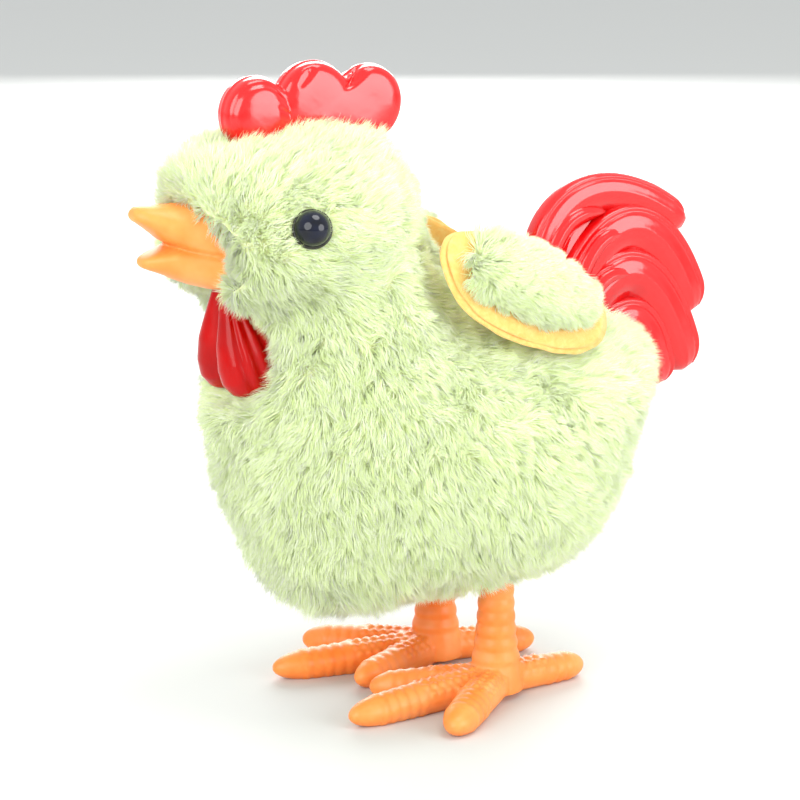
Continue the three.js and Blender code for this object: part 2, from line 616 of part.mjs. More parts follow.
const SHANK = [ // height, half size across, half size fore and aft
  [2, 4.2, 4.4], [4.6, 3.8, 4], [7, 3.3, 3.4], [10, 3, 3.05], [14, 2.75, 2.75], [20, 2.5, 2.6],
  [26, 1.7, 2.6],
];
function leg(side) {
  const sections = SHANK.map(([height, across, fore]) => Array.from({ length: 10 }, (_, i) => {
    const angle = (i / 10) * 2 * Math.PI;
    const lean = Math.min(1, height / 25) * (LEVER_INNER + 1.9 - ANKLE_X);
    return new THREE.Vector3(ANKLE_X + lean + across * Math.cos(angle), fore * Math.sin(angle), height);
  }));
  const shank = solid(new LoftGeometry(sections, { capStart: true, capEnd: true }));
  const foot = moved(union(TOES.map(toe)), { position: [ANKLE_X, 0, 0] });
  const floor = new THREE.BoxGeometry(90, 90, 10);
  floor.translate(0, 0, -5);
  const lever = moved(legLever(), { position: [0, ...LEG_PIVOT] });
  const whole = without(union([shank, foot, lever]), [
    solid(floor),
    barX(holeFor(LEG_SHAFT_RADIUS), 0, 20, LEG_PIVOT),
    barX(6, 0, LEVER_INNER, LEG_PIVOT),
    barX(LEG_CAP_RADIUS + GAP, LEVER_INNER + LEVER_THICKNESS, 20, LEG_PIVOT),
  ]);
  return side > 0 ? whole : whole.mirror([1, 0, 0]);
}

const LEG_SHAFT_END = LEVER_INNER + LEVER_THICKNESS + 1.6;
function legCap(side) {
  const x0 = LEVER_INNER + LEVER_THICKNESS + GAP;
  const ring = barX(LEG_CAP_RADIUS, x0, LEG_SHAFT_END).subtract(barX(holeFor(LEG_SHAFT_RADIUS), 0, 20));
  return side > 0 ? ring : ring.mirror([1, 0, 0]);
}

// ---- Shell halves, joined by three screws and clamping the gearbox ----
const SHELL_SCREWS = { head: [-27, 76], chest: [-31, 40], rump: [18.5, 43] };
const SHELL_POST = 2.9;
const SCREW_WELL = 1.9;
const KNOB_HOLE = 4;
const SCREW_SEAT = -3.4;
const CLAMP_POSTS = GEARBOX_POSTS.slice(0, 3);

function legHole(side) {
  const hole = new THREE.CylinderGeometry(1, 1, 28, 14);
  hole.rotateX(Math.PI / 2);
  hole.scale(LEG_HOLE_HALF[0], LEG_HOLE_HALF[1], 1);
  hole.translate(side * ANKLE_X, 0, 17);
  return solid(hole);
}

const SHELL_DEPTH = PLUSH_THICKNESS + 0.4;
const shellOuter = skin(SHELL_DEPTH, 20, 14);
const shellInner = skin(SHELL_DEPTH + SHELL_THICKNESS, 20, 14);

// Each moulding is held by a stem through the shell: where it starts, its length, and how deep its hole goes.
const STEMS = {
  comb: { place: { position: [0, COMB_PLACE.position[1], 88] }, length: 7, hole: 9 },
  beak: { place: { position: BEAK_PLACE.position, turn: [90, 0, 0] }, length: 9, hole: 16 },
  wattle: { place: { position: [0, -39.5, 62], turn: [90, 0, 0] }, length: 11, hole: 14 },
  tail: { place: { position: [0, 21, 60], turn: [-35, 0, 0] }, length: 11.5, hole: 16 },
};
const stemHoles = () => Object.values(STEMS).map(({ place, hole }) => moved(stem(hole, GAP, false), place));

function shellHalf(side) {
  const half = new THREE.BoxGeometry(60, 140, 140);
  half.translate(side * (30 + GAP / 2), 0, 50);
  const posts = Object.values(SHELL_SCREWS).map((spot) =>
    barX(SHELL_POST, ...(side > 0 ? [GAP / 2, 30] : [-30, -GAP / 2]), spot));
  const clampFace = PLATE_OUTER + GAP + 1.4;
  const clamps = CLAMP_POSTS.map((spot) =>
    barX(2.2, ...(side > 0 ? [clampFace, 30] : [-30, -clampFace]), spot));
  const pillars = union([...posts, ...clamps]).intersect(shellOuter);
  const wall = shellOuter.subtract(shellInner).add(pillars).intersect(solid(half));
  const screwHoles = Object.values(SHELL_SCREWS).flatMap((spot) => (side > 0
    ? [barX(holeFor(SCREW_SHANK), -1, 6.6, spot)]
    : [barX(holeFor(SCREW_SHANK), -9, 1, spot), barX(SCREW_WELL, -ASIDE, SCREW_SEAT, spot)]));
  const eyeHole = moved(side > 0 ? eye(GAP) : mirroredEye(GAP), eyePlace(side));
  return without(wall, [
    ...screwHoles, ...stemHoles(), legHole(side), eyeHole,
    ...(side < 0 ? [barX(KNOB_HOLE + 0.2, -ASIDE, -10, GREAT_ARBOR, 14)] : []),
    ...trimCutters(),
  ]);
}

const trimCutters = () => [
  moved(comb(POCKET_MARGIN), COMB_PLACE),
  moved(beak(POCKET_MARGIN), BEAK_PLACE),
  moved(wattle(POCKET_MARGIN), WATTLE_PLACE),
  moved(tail(POCKET_MARGIN), TAIL_PLACE),
];

// Room for the shell under the folds of the face, where the plush is thickest.
const shellRoom = [[0, 0, 0], [0, -GAP, 0], [GAP, 0, GAP], [-GAP, 0, GAP]]
  .map((shift) => shellOuter.translate(shift));

function plushCoat() {
  const wingBeds = [1, -1].map((side) => moved(leafSlab(side, -GAP, 12, GAP), wingPlace(side)));
  return without(skin(0, 30, 20), [
    skin(PLUSH_THICKNESS, 20, 14), ...shellRoom, ...trimCutters(), ...wingBeds, legHole(1), legHole(-1),
    moved(eye(GAP), eyePlace(1)), moved(mirroredEye(GAP), eyePlace(-1)),
    barX(KNOB_HOLE, -ASIDE, -10, GREAT_ARBOR, 14), ...stemHoles(),
  ]);
}

// ---- Assembly ----
const toy = new THREE.Group();
const covering = new THREE.Group();
const trim = new THREE.Group();
const gearbox = new THREE.Group();
const drive = new THREE.Group();
const legs = new THREE.Group();
toy.add(covering, trim, gearbox, drive, legs);

add(covering, 'plush_coat', plushCoat(), 'plush');
add(covering, 'shell_left', shellHalf(1), 'shell');
add(covering, 'shell_right', shellHalf(-1), 'shell');
for (const [name, [y, z]] of Object.entries(SHELL_SCREWS)) {
  add(covering, `shell_screw_${name}`, screw(0, 8.5, 1.6), 'screw', { position: [SCREW_SEAT, y, z] });
}

const unplace = ({ position }) => ({ position: position.map((value) => -value) });
for (const [name, piece, place] of [
  ['comb', comb(), COMB_PLACE], ['beak', beak(), BEAK_PLACE],
  ['wattle', wattle(), WATTLE_PLACE], ['tail', tail(), TAIL_PLACE],
]) {
  const held = moved(moved(stem(STEMS[name].length), STEMS[name].place), unplace(place));
  add(trim, name, piece.add(held), name, place);
}
for (const [word, side] of [['left', 1], ['right', -1]]) {
  add(trim, `eye_${word}`, side > 0 ? eye() : mirroredEye(), 'eye', eyePlace(side));
  const washer = barX(2.2, -0.4, 0.4).subtract(barX(holeFor(1), -1, 1));
  add(trim, `eye_washer_${word}`, washer, 'steel',
    { position: [side * (EYE_CENTRE[0] - EYE_STEM + 0.8), EYE_CENTRE[1], EYE_CENTRE[2]] });
  add(trim, `wing_felt_${word}`, leafSlab(side, 0, FELT_THICKNESS), 'felt', wingPlace(side));
  add(trim, `wing_plush_${word}`, wingPad(side), 'plush', wingPlace(side));
}

add(gearbox, 'gearbox_plate_left', gearboxPlateLeft(), 'gearbox');
add(gearbox, 'gearbox_plate_right', gearboxPlateRight(), 'gearbox');
GEARBOX_POSTS.forEach(([y, z], i) => {
  add(gearbox, `gearbox_screw_${i + 1}`, screw(0, 8, 1.3), 'screw', { position: [-PLATE_OUTER, y, z] });
});
add(gearbox, 'mainspring', mainspring(), 'spring', { position: [0, ...GREAT_ARBOR] });
add(gearbox, 'ratchet_click', ratchetClick(), 'steel', { position: [0, ...CLICK_STUD] });
add(gearbox, 'leg_shaft', barX(LEG_SHAFT_RADIUS, -LEG_SHAFT_END + 0.3, LEG_SHAFT_END - 0.3), 'steel',
  { position: [0, ...LEG_PIVOT] });
add(gearbox, 'leg_cap_left', legCap(1), 'knob', { position: [0, ...LEG_PIVOT] });
add(gearbox, 'leg_cap_right', legCap(-1), 'knob', { position: [0, ...LEG_PIVOT] });

const greatAt = { position: [0, ...GREAT_ARBOR] };
add(drive, 'winding_shaft', windingShaft(), 'steel', greatAt);
add(drive, 'winding_knob', windingKnob(), 'knob', greatAt);
add(drive, 'ratchet_wheel', ratchetWheel(), 'steel', greatAt);
const greatWheel = gear(GREAT_TEETH, greatPhase, ...GREAT_LAYER, holeFor(WINDING_SHAFT_RADIUS));
add(drive, 'great_wheel', greatWheel, 'gear', greatAt);
add(drive, 'second_wheel', wheelWithPinion(SECOND_TEETH, secondPhase, SECOND_LAYER, SECOND_PINION_TEETH,
  secondPhase, GREAT_LAYER), 'gear', { position: [0, ...SECOND_ARBOR] });
add(drive, 'third_wheel', wheelWithPinion(THIRD_TEETH, thirdPhase, THIRD_LAYER, THIRD_PINION_TEETH,
  thirdPhase, SECOND_LAYER), 'gear', { position: [0, ...THIRD_ARBOR] });
const crankShaft = barX(ARBOR_RADIUS, -LEVER_INNER + GAP + 0.3, LEVER_INNER - GAP - 0.3)
  .add(gear(CRANK_PINION_TEETH, crankPhase, THIRD_LAYER[0] - LAYER_MARGIN, THIRD_LAYER[1] + LAYER_MARGIN));
const crankAt = { position: [0, ...CRANK_ARBOR] };
add(drive, 'crank_shaft', crankShaft, 'steel', crankAt);
add(drive, 'crank_left', crank(1), 'crank', crankAt);
add(drive, 'crank_right', crank(-1), 'crank', crankAt);

add(legs, 'leg_left', leg(1), 'leg');
add(legs, 'leg_right', leg(-1), 'leg');

// The origin is the middle of the whole toy's footprint, on the floor.
const extent = new THREE.Box3().setFromObject(toy);
for (const group of toy.children) {
  group.position.set(-(extent.min.x + extent.max.x) / 2, -(extent.min.y + extent.max.y) / 2, -extent.min.z);
}

export default toy;
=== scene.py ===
"""Looks of the wind-up hopping chicken: plush coat, felt wings, glossy trim and moulded legs."""
import math

import bmesh
import bpy
import numpy as np
from mathutils import Matrix, Vector
from mathutils.bvhtree import BVHTree
from mathutils.kdtree import KDTree


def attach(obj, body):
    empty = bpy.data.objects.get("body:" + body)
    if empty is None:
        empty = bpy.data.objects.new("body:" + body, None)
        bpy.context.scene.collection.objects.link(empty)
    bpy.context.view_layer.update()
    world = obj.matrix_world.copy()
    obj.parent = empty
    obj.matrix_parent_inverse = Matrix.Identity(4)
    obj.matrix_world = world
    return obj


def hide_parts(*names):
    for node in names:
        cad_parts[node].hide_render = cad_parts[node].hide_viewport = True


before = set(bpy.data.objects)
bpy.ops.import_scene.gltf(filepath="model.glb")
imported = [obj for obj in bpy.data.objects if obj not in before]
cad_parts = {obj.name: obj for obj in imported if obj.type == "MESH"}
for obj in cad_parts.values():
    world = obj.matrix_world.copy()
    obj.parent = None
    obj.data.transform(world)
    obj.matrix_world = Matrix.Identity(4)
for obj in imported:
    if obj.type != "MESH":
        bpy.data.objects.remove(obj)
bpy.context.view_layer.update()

# Shapes are worked out in millimetres with the ankles over the origin; SHIFT puts them in the row frame.
SHIFT = np.array([5.5979, 5.4, 0.0])
MM = 0.001


# ---- Numbers and noise ----
def waves(points, size, seed, count=22):
    """Smooth noise about -1 to 1, with bumps about size mm across."""
    rng = np.random.default_rng(seed)
    total = np.zeros(len(points))
    for _ in range(count):
        direction = rng.normal(size=3)
        direction /= np.linalg.norm(direction)
        pitch = size * rng.uniform(0.7, 1.6)
        total += np.sin(points @ direction * (2 * math.pi / pitch) + rng.uniform(0, 2 * math.pi))
    return total / math.sqrt(count / 2) * 0.6


def wave_vectors(points, size, seed):
    return np.stack([waves(points, size, seed + k) for k in range(3)], axis=1)


def unit(vectors):
    return vectors / np.maximum(np.linalg.norm(vectors, axis=-1, keepdims=True), 1e-12)


def rotation(x=0, y=0, z=0):
    turned = Matrix.Rotation(math.radians(z), 3, "Z") @ Matrix.Rotation(math.radians(y), 3, "Y")
    return np.array(turned @ Matrix.Rotation(math.radians(x), 3, "X"))


# ---- Meshes ----
def mesh_of(name, points, faces, in_frame=True):
    """A mesh from points in millimetres."""
    points = np.asarray(points, float)
    mesh = bpy.data.meshes.new(name)
    mesh.from_pydata(((points + SHIFT) * MM if in_frame else points).tolist(), [], [list(f) for f in faces])
    mesh.update()
    return mesh


def show(name, mesh, body, material, replaces=()):
    piece = bpy.data.objects.new(name, mesh)
    bpy.context.scene.collection.objects.link(piece)
    if material is not None:
        mesh.materials.clear()
        mesh.materials.append(material)
    mesh.polygons.foreach_set("use_smooth", [True] * len(mesh.polygons))
    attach(piece, body)
    if replaces:
        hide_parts(*replaces)
    return piece


def applied(mesh, *modifiers):
    """The mesh after these modifiers, each (type, settings)."""
    carrier = bpy.data.objects.new("carrier", mesh)
    bpy.context.scene.collection.objects.link(carrier)
    for kind, settings in modifiers:
        modifier = carrier.modifiers.new(kind, kind)
        for key, value in settings.items():
            setattr(modifier, key, value)
    bpy.context.view_layer.update()
    made = bpy.data.meshes.new_from_object(carrier.evaluated_get(bpy.context.evaluated_depsgraph_get()))
    made.name = mesh.name
    bpy.data.objects.remove(carrier)
    return made


def moulded(name, parts, voxel, smoothing=2, factor=0.5):
    """Several closed shapes melted into one moulding. parts is a list of (points, faces) in millimetres."""
    points, faces = joined(parts)
    mesh = mesh_of(name, points, faces, in_frame=False)
    mesh = applied(mesh, ("REMESH", {"mode": "VOXEL", "voxel_size": voxel}),
                   ("SMOOTH", {"factor": factor, "iterations": smoothing}))
    return mesh


def joined(parts):
    points, faces, start = [], [], 0
    for part_points, part_faces in parts:
        points.append(np.asarray(part_points, float))
        faces += [[start + i for i in face] for face in part_faces]
        start += len(part_points)
    return np.concatenate(points), faces


def points_of(mesh):
    points = np.zeros(len(mesh.vertices) * 3, np.float32)
    mesh.vertices.foreach_get("co", points)
    return points.reshape(-1, 3).astype(float)


def set_points(mesh, points):
    mesh.vertices.foreach_set("co", np.asarray(points, np.float32).ravel())
    mesh.update()


def into_frame(mesh, place=(0, 0, 0)):
    """From millimetres about a place to the row frame."""
    set_points(mesh, (points_of(mesh) + np.array(place) + SHIFT) * MM)
    return mesh


spheres = {}


def sphere(level):
    """Directions and triangles of an even sphere."""
    if level not in spheres:
        ball = bmesh.new()
        bmesh.ops.create_icosphere(ball, subdivisions=level, radius=1)
        spheres[level] = (unit(np.array([v.co for v in ball.verts])),
                          [[v.index for v in f.verts] for f in ball.faces])
        ball.free()
    return spheres[level]


def inflated(field, centre, level, reach):
    """The surface where field is 0, seen from a centre inside it."""
    directions, faces = sphere(level)
    near, far = np.zeros(len(directions)), np.full(len(directions), float(reach))
    for _ in range(26):
        middle = (near + far) / 2
        inside = field(centre + directions * middle[:, None]) < 0
        near, far = np.where(inside, middle, near), np.where(inside, far, middle)
    return centre + directions * near[:, None], faces


def slope(field, points, step=0.05):
    """Unit outward directions of a field."""
    shifts = np.eye(3) * step
    return unit(np.stack([field(points + s) - field(points - s) for s in shifts], axis=1))


def ball(centre, half, level=3, turn=None):
    directions, faces = sphere(level)
    points = directions * np.array(half)
    if turn is not None:
        points = points @ turn.T
    return points + np.array(centre), faces


def bezier(controls, t):
    controls = [np.array(c, float) for c in controls]
    t = np.asarray(t, float)[:, None]
    while len(controls) > 1:
        controls = [a * (1 - t) + b * t for a, b in zip(controls[:-1], controls[1:])]
    return controls[0]


def swept(line, section, sides, sideways=(1, 0, 0)):
    """A closed body along a line. section(i, angle) gives the sideways and upward reach of ring i."""
    line = np.asarray(line, float)
    along = unit(np.gradient(line, axis=0))
    across = np.broadcast_to(np.array(sideways, float), line.shape)
    across = unit(across - (across * along).sum(1, keepdims=True) * along)
    upward = np.cross(along, across)
    angles = np.arange(sides) / sides * 2 * math.pi
    rings = []
    for i, centre in enumerate(line):
        out, up = section(i / (len(line) - 1), angles)
        rings.append(centre + np.outer(out, across[i]) + np.outer(up, upward[i]))
    points = np.concatenate(rings + [line[:1], line[-1:]])
    faces = []
    for i in range(len(line) - 1):
        for j in range(sides):
            k = (j + 1) % sides
            faces.append([i * sides + j, i * sides + k, (i + 1) * sides + k, (i + 1) * sides + j])
    first, last = len(line) * sides, len(line) * sides + 1
    for j in range(sides):
        k = (j + 1) % sides
        faces.append([first, k, j])
        faces.append([last, (len(line) - 1) * sides + j, (len(line) - 1) * sides + k])
    return points, faces


# ---- Materials ----
def srgb(*levels):
    """A colour from 0 to 255 levels, as the shader takes it."""
    share = np.array(levels) / 255
    linear = np.where(share <= 0.04045, share / 12.92, ((share + 0.055) / 1.055) ** 2.4)
    return (*linear.tolist(), 1.0)


class Finish:
    """A node material: colours mixed by noise, roughness and bump at the object's own scale."""

    def __init__(self, name, roughness, **sockets):
        self.material = bpy.data.materials.new(name)
        self.material.use_nodes = True
        self.nodes, self.links = self.material.node_tree.nodes, self.material.node_tree.links
        self.shader = self.nodes["Principled BSDF"]
        self.shader.inputs["Roughness"].default_value = roughness
        for key, value in sockets.items():
            self.shader.inputs[key.replace("_", " ")].default_value = value
        self.place = self.nodes.new("ShaderNodeTexCoord").outputs["Object"]
        self.bump_end = None

    def node(self, kind, **settings):
        made = self.nodes.new(kind)
        for key, value in settings.items():
            if key in made.inputs:
                made.inputs[key].default_value = value
            else:
                setattr(made, key, value)
        return made

    def noise(self, size, detail=3, roughness=0.55, distortion=0.0, stretch=None):
        """Noise with features about size mm across."""
        made = self.node("ShaderNodeTexNoise", Scale=1 / (size * MM), Detail=detail, Roughness=roughness,
                         Distortion=distortion)
        place = self.place
        if stretch is not None:
            mapping = self.node("ShaderNodeMapping")
            mapping.inputs["Scale"].default_value = stretch
            self.links.new(place, mapping.inputs["Vector"])
            place = mapping.outputs["Vector"]
        self.links.new(place, made.inputs["Vector"])
        return made.outputs["Fac"]

    def colours(self, source, *stops):
        """Colour stops (place, colour) along a 0 to 1 source."""
        ramp = self.node("ShaderNodeValToRGB")
        while len(ramp.color_ramp.elements) < len(stops):
            ramp.color_ramp.elements.new(0.5)
        for element, (place, colour) in zip(ramp.color_ramp.elements, stops):
            element.position, element.color = place, colour
        self.links.new(source, ramp.inputs["Fac"])
        self.links.new(ramp.outputs["Color"], self.shader.inputs["Base Color"])
        return self

    def rough(self, source, low, high):
        spread = self.node("ShaderNodeMapRange")
        spread.inputs["To Min"].default_value, spread.inputs["To Max"].default_value = low, high
        self.links.new(source, spread.inputs["Value"])
        self.links.new(spread.outputs["Result"], self.shader.inputs["Roughness"])
        return self

    def bump(self, source, depth, strength=1.0):
        """Relief of a height in mm, on top of any before it."""
        relief = self.node("ShaderNodeBump", Strength=strength, Distance=depth * MM)
        self.links.new(source, relief.inputs["Height"])
        if self.bump_end is not None:
            self.links.new(self.bump_end, relief.inputs["Normal"])
        self.bump_end = relief.outputs["Normal"]
        self.links.new(self.bump_end, self.shader.inputs["Normal"])
        return self


def glossy(name, deep, bright, roughness=0.16, coat=0.5):
    """Soft glossy moulded plastic, slightly uneven."""
    finish = Finish(name, roughness, Coat_Weight=coat, Coat_Roughness=0.06, Specular_IOR_Level=coat)
    finish.colours(finish.noise(9, 2), (0.3, deep), (0.7, bright))
    finish.rough(finish.noise(3, 3), roughness * 0.8, roughness * 1.35)
    finish.bump(finish.noise(3.5, 2), 0.12).bump(finish.noise(0.5, 2), 0.004)
    return finish.material


def satin(name, deep, middle, bright):
    """Waxy satin plastic that lets a little light in."""
    finish = Finish(name, 0.42, Subsurface_Weight=0.25, Subsurface_Scale=0.002, Specular_IOR_Level=0.45)
    finish.shader.inputs["Subsurface Radius"].default_value = (1.0, 0.45, 0.2)
    finish.colours(finish.noise(7, 3), (0.28, deep), (0.5, middle), (0.72, bright))
    finish.rough(finish.noise(1.2, 3), 0.34, 0.5)
    finish.bump(finish.noise(2.2, 3), 0.05).bump(finish.noise(0.3, 2), 0.006)
    return finish.material


comb_red = glossy("comb_red", srgb(214, 3, 4), srgb(230, 8, 9))
wattle_red = glossy("wattle_red", srgb(160, 0, 0), srgb(190, 2, 1), 0.2, 0.16)
tail_red = glossy("tail_red", srgb(204, 2, 4), srgb(220, 5, 10), 0.16)
beak_orange = satin("beak_orange", srgb(248, 140, 56), srgb(252, 155, 75), srgb(254, 172, 100))
leg_orange = satin("leg_orange", srgb(246, 128, 46), srgb(250, 144, 66), srgb(253, 161, 90))

eye_finish = Finish("eye_black", 0.1, Coat_Weight=0.2, Coat_Roughness=0.03, Specular_IOR_Level=0.35)
eye_finish.colours(eye_finish.noise(1.6, 2), (0.35, srgb(3, 6, 18)), (0.7, srgb(8, 15, 38)))
eye_finish.bump(eye_finish.noise(1.1, 2), 0.02)
eye_rim = Finish("eye_rim", 0.3)
eye_rim.colours(eye_rim.noise(0.8, 2), (0.3, srgb(24, 26, 20)), (0.7, srgb(52, 52, 38)))

felt_finish = Finish("wing_felt", 0.95, Sheen_Weight=0.25, Sheen_Roughness=0.5)
felt_finish.colours(felt_finish.noise(1.1, 5, 0.65, 0.6), (0.25, srgb(251, 188, 94)),
                    (0.5, srgb(254, 202, 114)), (0.75, srgb(255, 217, 138)))
felt_finish.bump(felt_finish.noise(0.5, 4, 0.7, 1.5), 0.12).bump(felt_finish.noise(0.16, 3, 0.6, 2), 0.05)

coat_finish = Finish("coat_backing", 0.95)
coat_finish.colours(coat_finish.noise(2.4, 4, 0.6), (0.25, srgb(236, 240, 172)), (0.5, srgb(243, 247, 188)),
                    (0.75, srgb(249, 252, 206)))
coat_finish.bump(coat_finish.noise(0.8, 4, 0.7, 1.0), 0.3)


def fibre(name, *colour):
    """Pile fibre: one plain shade, so that each strand is told from its neighbours by its slot."""
    finish = Finish(name, 0.7, Sheen_Weight=0.4, Sheen_Roughness=0.5)
    finish.shader.inputs["Base Color"].default_value = srgb(*colour)
    finish.shader.inputs["Specular IOR Level"].default_value = 0.25
    return finish.material


PILE = [fibre("pile_lemon", 238, 255, 187), fibre("pile_pale", 242, 255, 206),
        fibre("pile_white", 250, 255, 232), fibre("pile_deep", 234, 254, 168)]
PILE_SHARES = [0.36, 0.32, 0.18, 0.14]  # how much of the pile has each shade

# ---- The body under the plush ----
BODY_BLOBS = [  # centre (y, z), half sizes (x, y, z), tilt about X
    (-32, 76.3, (20.9, 19.6, 12.4), 21), (-37.5, 82.3, (13, 10.7, 6.2), 0),
    (-23.6, 50.7, (21.3, 18.6, 33.3), 0), (-2.1, 40.3, (26.6, 27.3, 24.3), 6),
    (7.4, 46.4, (21.8, 22.3, 9.3), 14.7),
]
BODY_DISHES = [  # centre (y, z), half sizes (x, y, z): the hollows that the beak and the wattle sit in
    (-54.5, 72.4, (17.5, 12.3, 6.8)), (-45.0, 58, (15, 9.2, 9.5)),
]
BODY_BLEND, DISH_BLEND = 7, 11  # how sharply the blobs and the dishes melt together
BODY_CORE = np.array([0.0, -18.0, 54.0])  # a point inside, from which the whole surface can be seen
BODY_REACH = 80  # further from the core than any of the surface


def body_field(points):
    """Below zero inside the covered body."""
    total = np.zeros(len(points))
    for y, z, half, tilt in BODY_BLOBS:
        angle = math.radians(tilt)
        dy, dz = points[:, 1] - y, points[:, 2] - z
        along = (dy * math.cos(angle) + dz * math.sin(angle)) / half[1]
        above = (dz * math.cos(angle) - dy * math.sin(angle)) / half[2]
        total += np.exp(-BODY_BLEND * (np.sqrt((points[:, 0] / half[0]) ** 2 + along ** 2 + above ** 2) - 1))
    carved = np.exp(-DISH_BLEND * np.log(np.maximum(total, 1e-30)) / BODY_BLEND)
    for y, z, half in BODY_DISHES:
        reach = (points - np.array([0, y, z])) / np.array(half)
        carved += np.exp(DISH_BLEND * (1 - np.linalg.norm(reach, axis=1)))
    return np.log(carved) / DISH_BLEND


hard = []  # meshes in the row frame that the pile may not run into


# ---- Comb, beak, wattle, tail and eyes ----
def build_trim():
    build_comb()
    build_beak()
    build_wattle()
    build_tail()
    build_eyes()


def flat_lobes(lobes, blend):
    """Flattened lobes melted together: centre (y, z), half sizes (x, y, z), lean, squareness of section."""
    def field(points):
        total = np.zeros(len(points))
        for (y, z), (thick, long, high), lean, square in lobes:
            local = (points - np.array([0, y, z])) @ rotation(lean)
            plan = np.hypot(local[:, 1] / long, local[:, 2] / high)
            reach = ((np.abs(local[:, 0]) / thick) ** square + plan ** square) ** (1 / square)
            total += np.exp(-blend * (reach - 1))
        return -np.log(np.maximum(total, 1e-30)) / blend
    return field


def grooves(points, segments, width, depth):
    """How deep the creases along segments in the (y, z) plane cut at each point."""
    cut = np.zeros(len(points))
    for start, end in segments:
        start, end = np.array(start, float), np.array(end, float)
        share = np.clip((points[:, 1:] - start) @ (end - start) / ((end - start) @ (end - start)), 0, 1)
        away = np.linalg.norm(points[:, 1:] - start - share[:, None] * (end - start), axis=1)
        cut = np.maximum(cut, depth * np.exp(-(away / width) ** 2) * np.sin(math.pi * (0.12 + 0.76 * share)))
    return cut


COMB_CORE = np.array([0, -26.2, 89.0])
COMB_LOBES = [
    ((-35.9, 91.9), (3.3, 5.3, 5.7), 8, 3.4), ((-26.6, 92.9), (2.9, 6.0, 6.4), 0, 4.2),
    ((-17.6, 92.7), (2.8, 5.3, 5.7), -14, 4.2), ((-22.0, 89.6), (2.9, 6.6, 7.0), 0, 4.2),
]
COMB_FOLDS = [((-29.6, 96.2), (-27.4, 98.2)), ((-22.0, 95.4), (-19.0, 97.2))]


def build_comb():
    def copies(lobes, thick, grown, square):
        return [(centre, (thick, half[1] + grown, half[2] + grown), lean, square)
                for centre, half, lean, _ in lobes]
    body = flat_lobes(COMB_LOBES, 30)
    rim = flat_lobes(copies(COMB_LOBES[:3], 0.7, 0.28, 2.4), 60)  # a thin flange round the edge
    hem = flat_lobes(copies(COMB_LOBES[:1], 9, -0.95, 8), 60)  # a crease inside the front lobe's edge

    def field(points):
        shape = body(points) + grooves(points, COMB_FOLDS, 0.32, 0.14)
        shape = shape + 0.05 * np.exp(-(hem(points) / 0.06) ** 2)
        return np.minimum(shape, rim(points))
    points, faces = inflated(field, COMB_CORE, 7, 18)
    mesh = mesh_of("comb_moulding", points, faces)
    mesh = applied(mesh, ("SMOOTH", {"factor": 0.5, "iterations": 4}))
    show("comb_moulding", mesh, "chicken", comb_red, ["comb"])
    hard.append(mesh)


def ladder(rows, count):
    """Rows of numbers, read off evenly along the first of them."""
    rows = np.array(rows, float)
    at = np.linspace(rows[0, 0], rows[-1, 0], count)
    return np.stack([at] + [np.interp(at, rows[:, 0], rows[:, k]) for k in range(1, rows.shape[1])], axis=1)


def mandible(rows, flat_side, steps=60, power=0.78):
    """Half of the beak. rows are (forward, lowest, highest, half width); flat_side is +1 for a flat top."""
    rows = ladder(rows, steps)
    line = np.c_[np.zeros(steps), -rows[:, 0], (rows[:, 1] + rows[:, 2]) / 2]

    def section(s, angle):
        _, low, high, wide = rows[int(round(s * (steps - 1)))]
        out = wide * np.sign(np.cos(angle)) * np.abs(np.cos(angle)) ** power
        up = (high - low) / 2 * np.sign(np.sin(angle)) * np.abs(np.sin(angle)) ** power
        return out * (1 + 0.16 * flat_side * up / ((high - low) / 2 + 1e-6)), up
    return swept(line, section, 48)


UPPER_BEAK = [  # forward, lowest, highest, half width
    (38.5, 69.5, 78.6, 9.0), (41, 70.6, 79.0, 8.3), (44, 71.8, 79.6, 7.3), (47, 72.8, 79.9, 6.0),
    (50, 74.3, 80.0, 4.7), (52.5, 76.1, 80.1, 3.6), (54.2, 77.2, 80.1, 2.7), (55.2, 77.7, 79.9, 2.0),
    (55.75, 78.3, 79.5, 1.2),
]
LOWER_BEAK = [
    (38.5, 66.6, 73.6, 9.0), (41, 66.7, 73.4, 8.2), (44, 67.1, 73.4, 7.2), (47, 68.0, 73.8, 5.8),
    (50, 69.2, 73.9, 4.3), (52, 70.0, 73.3, 3.3), (53.4, 70.5, 72.8, 2.4), (54.3, 70.9, 72.4, 1.7),
    (54.7, 71.3, 72.1, 0.9),
]


def build_beak():
    halves = [mandible(UPPER_BEAK, -1), mandible(LOWER_BEAK, 1)]
    mesh = into_frame(moulded("beak_moulding", halves, 0.22, 6, 0.6))
    show("beak_moulding", mesh, "chicken", beak_orange, ["beak"])
    hard.append(mesh)


WATTLE_PLACE = (0, -38.3, 66.4)
WATTLE_FULLNESS = [  # down the lobe, share of its full section
    (0, 0.2), (0.12, 0.34), (0.3, 0.55), (0.5, 0.82), (0.68, 0.98), (0.8, 1.0), (0.9, 0.86), (0.96, 0.6),
    (1, 0.04),
]
WATTLE_GROOVES = (-52, -30, -8, 14, 36)  # degrees round each lobe


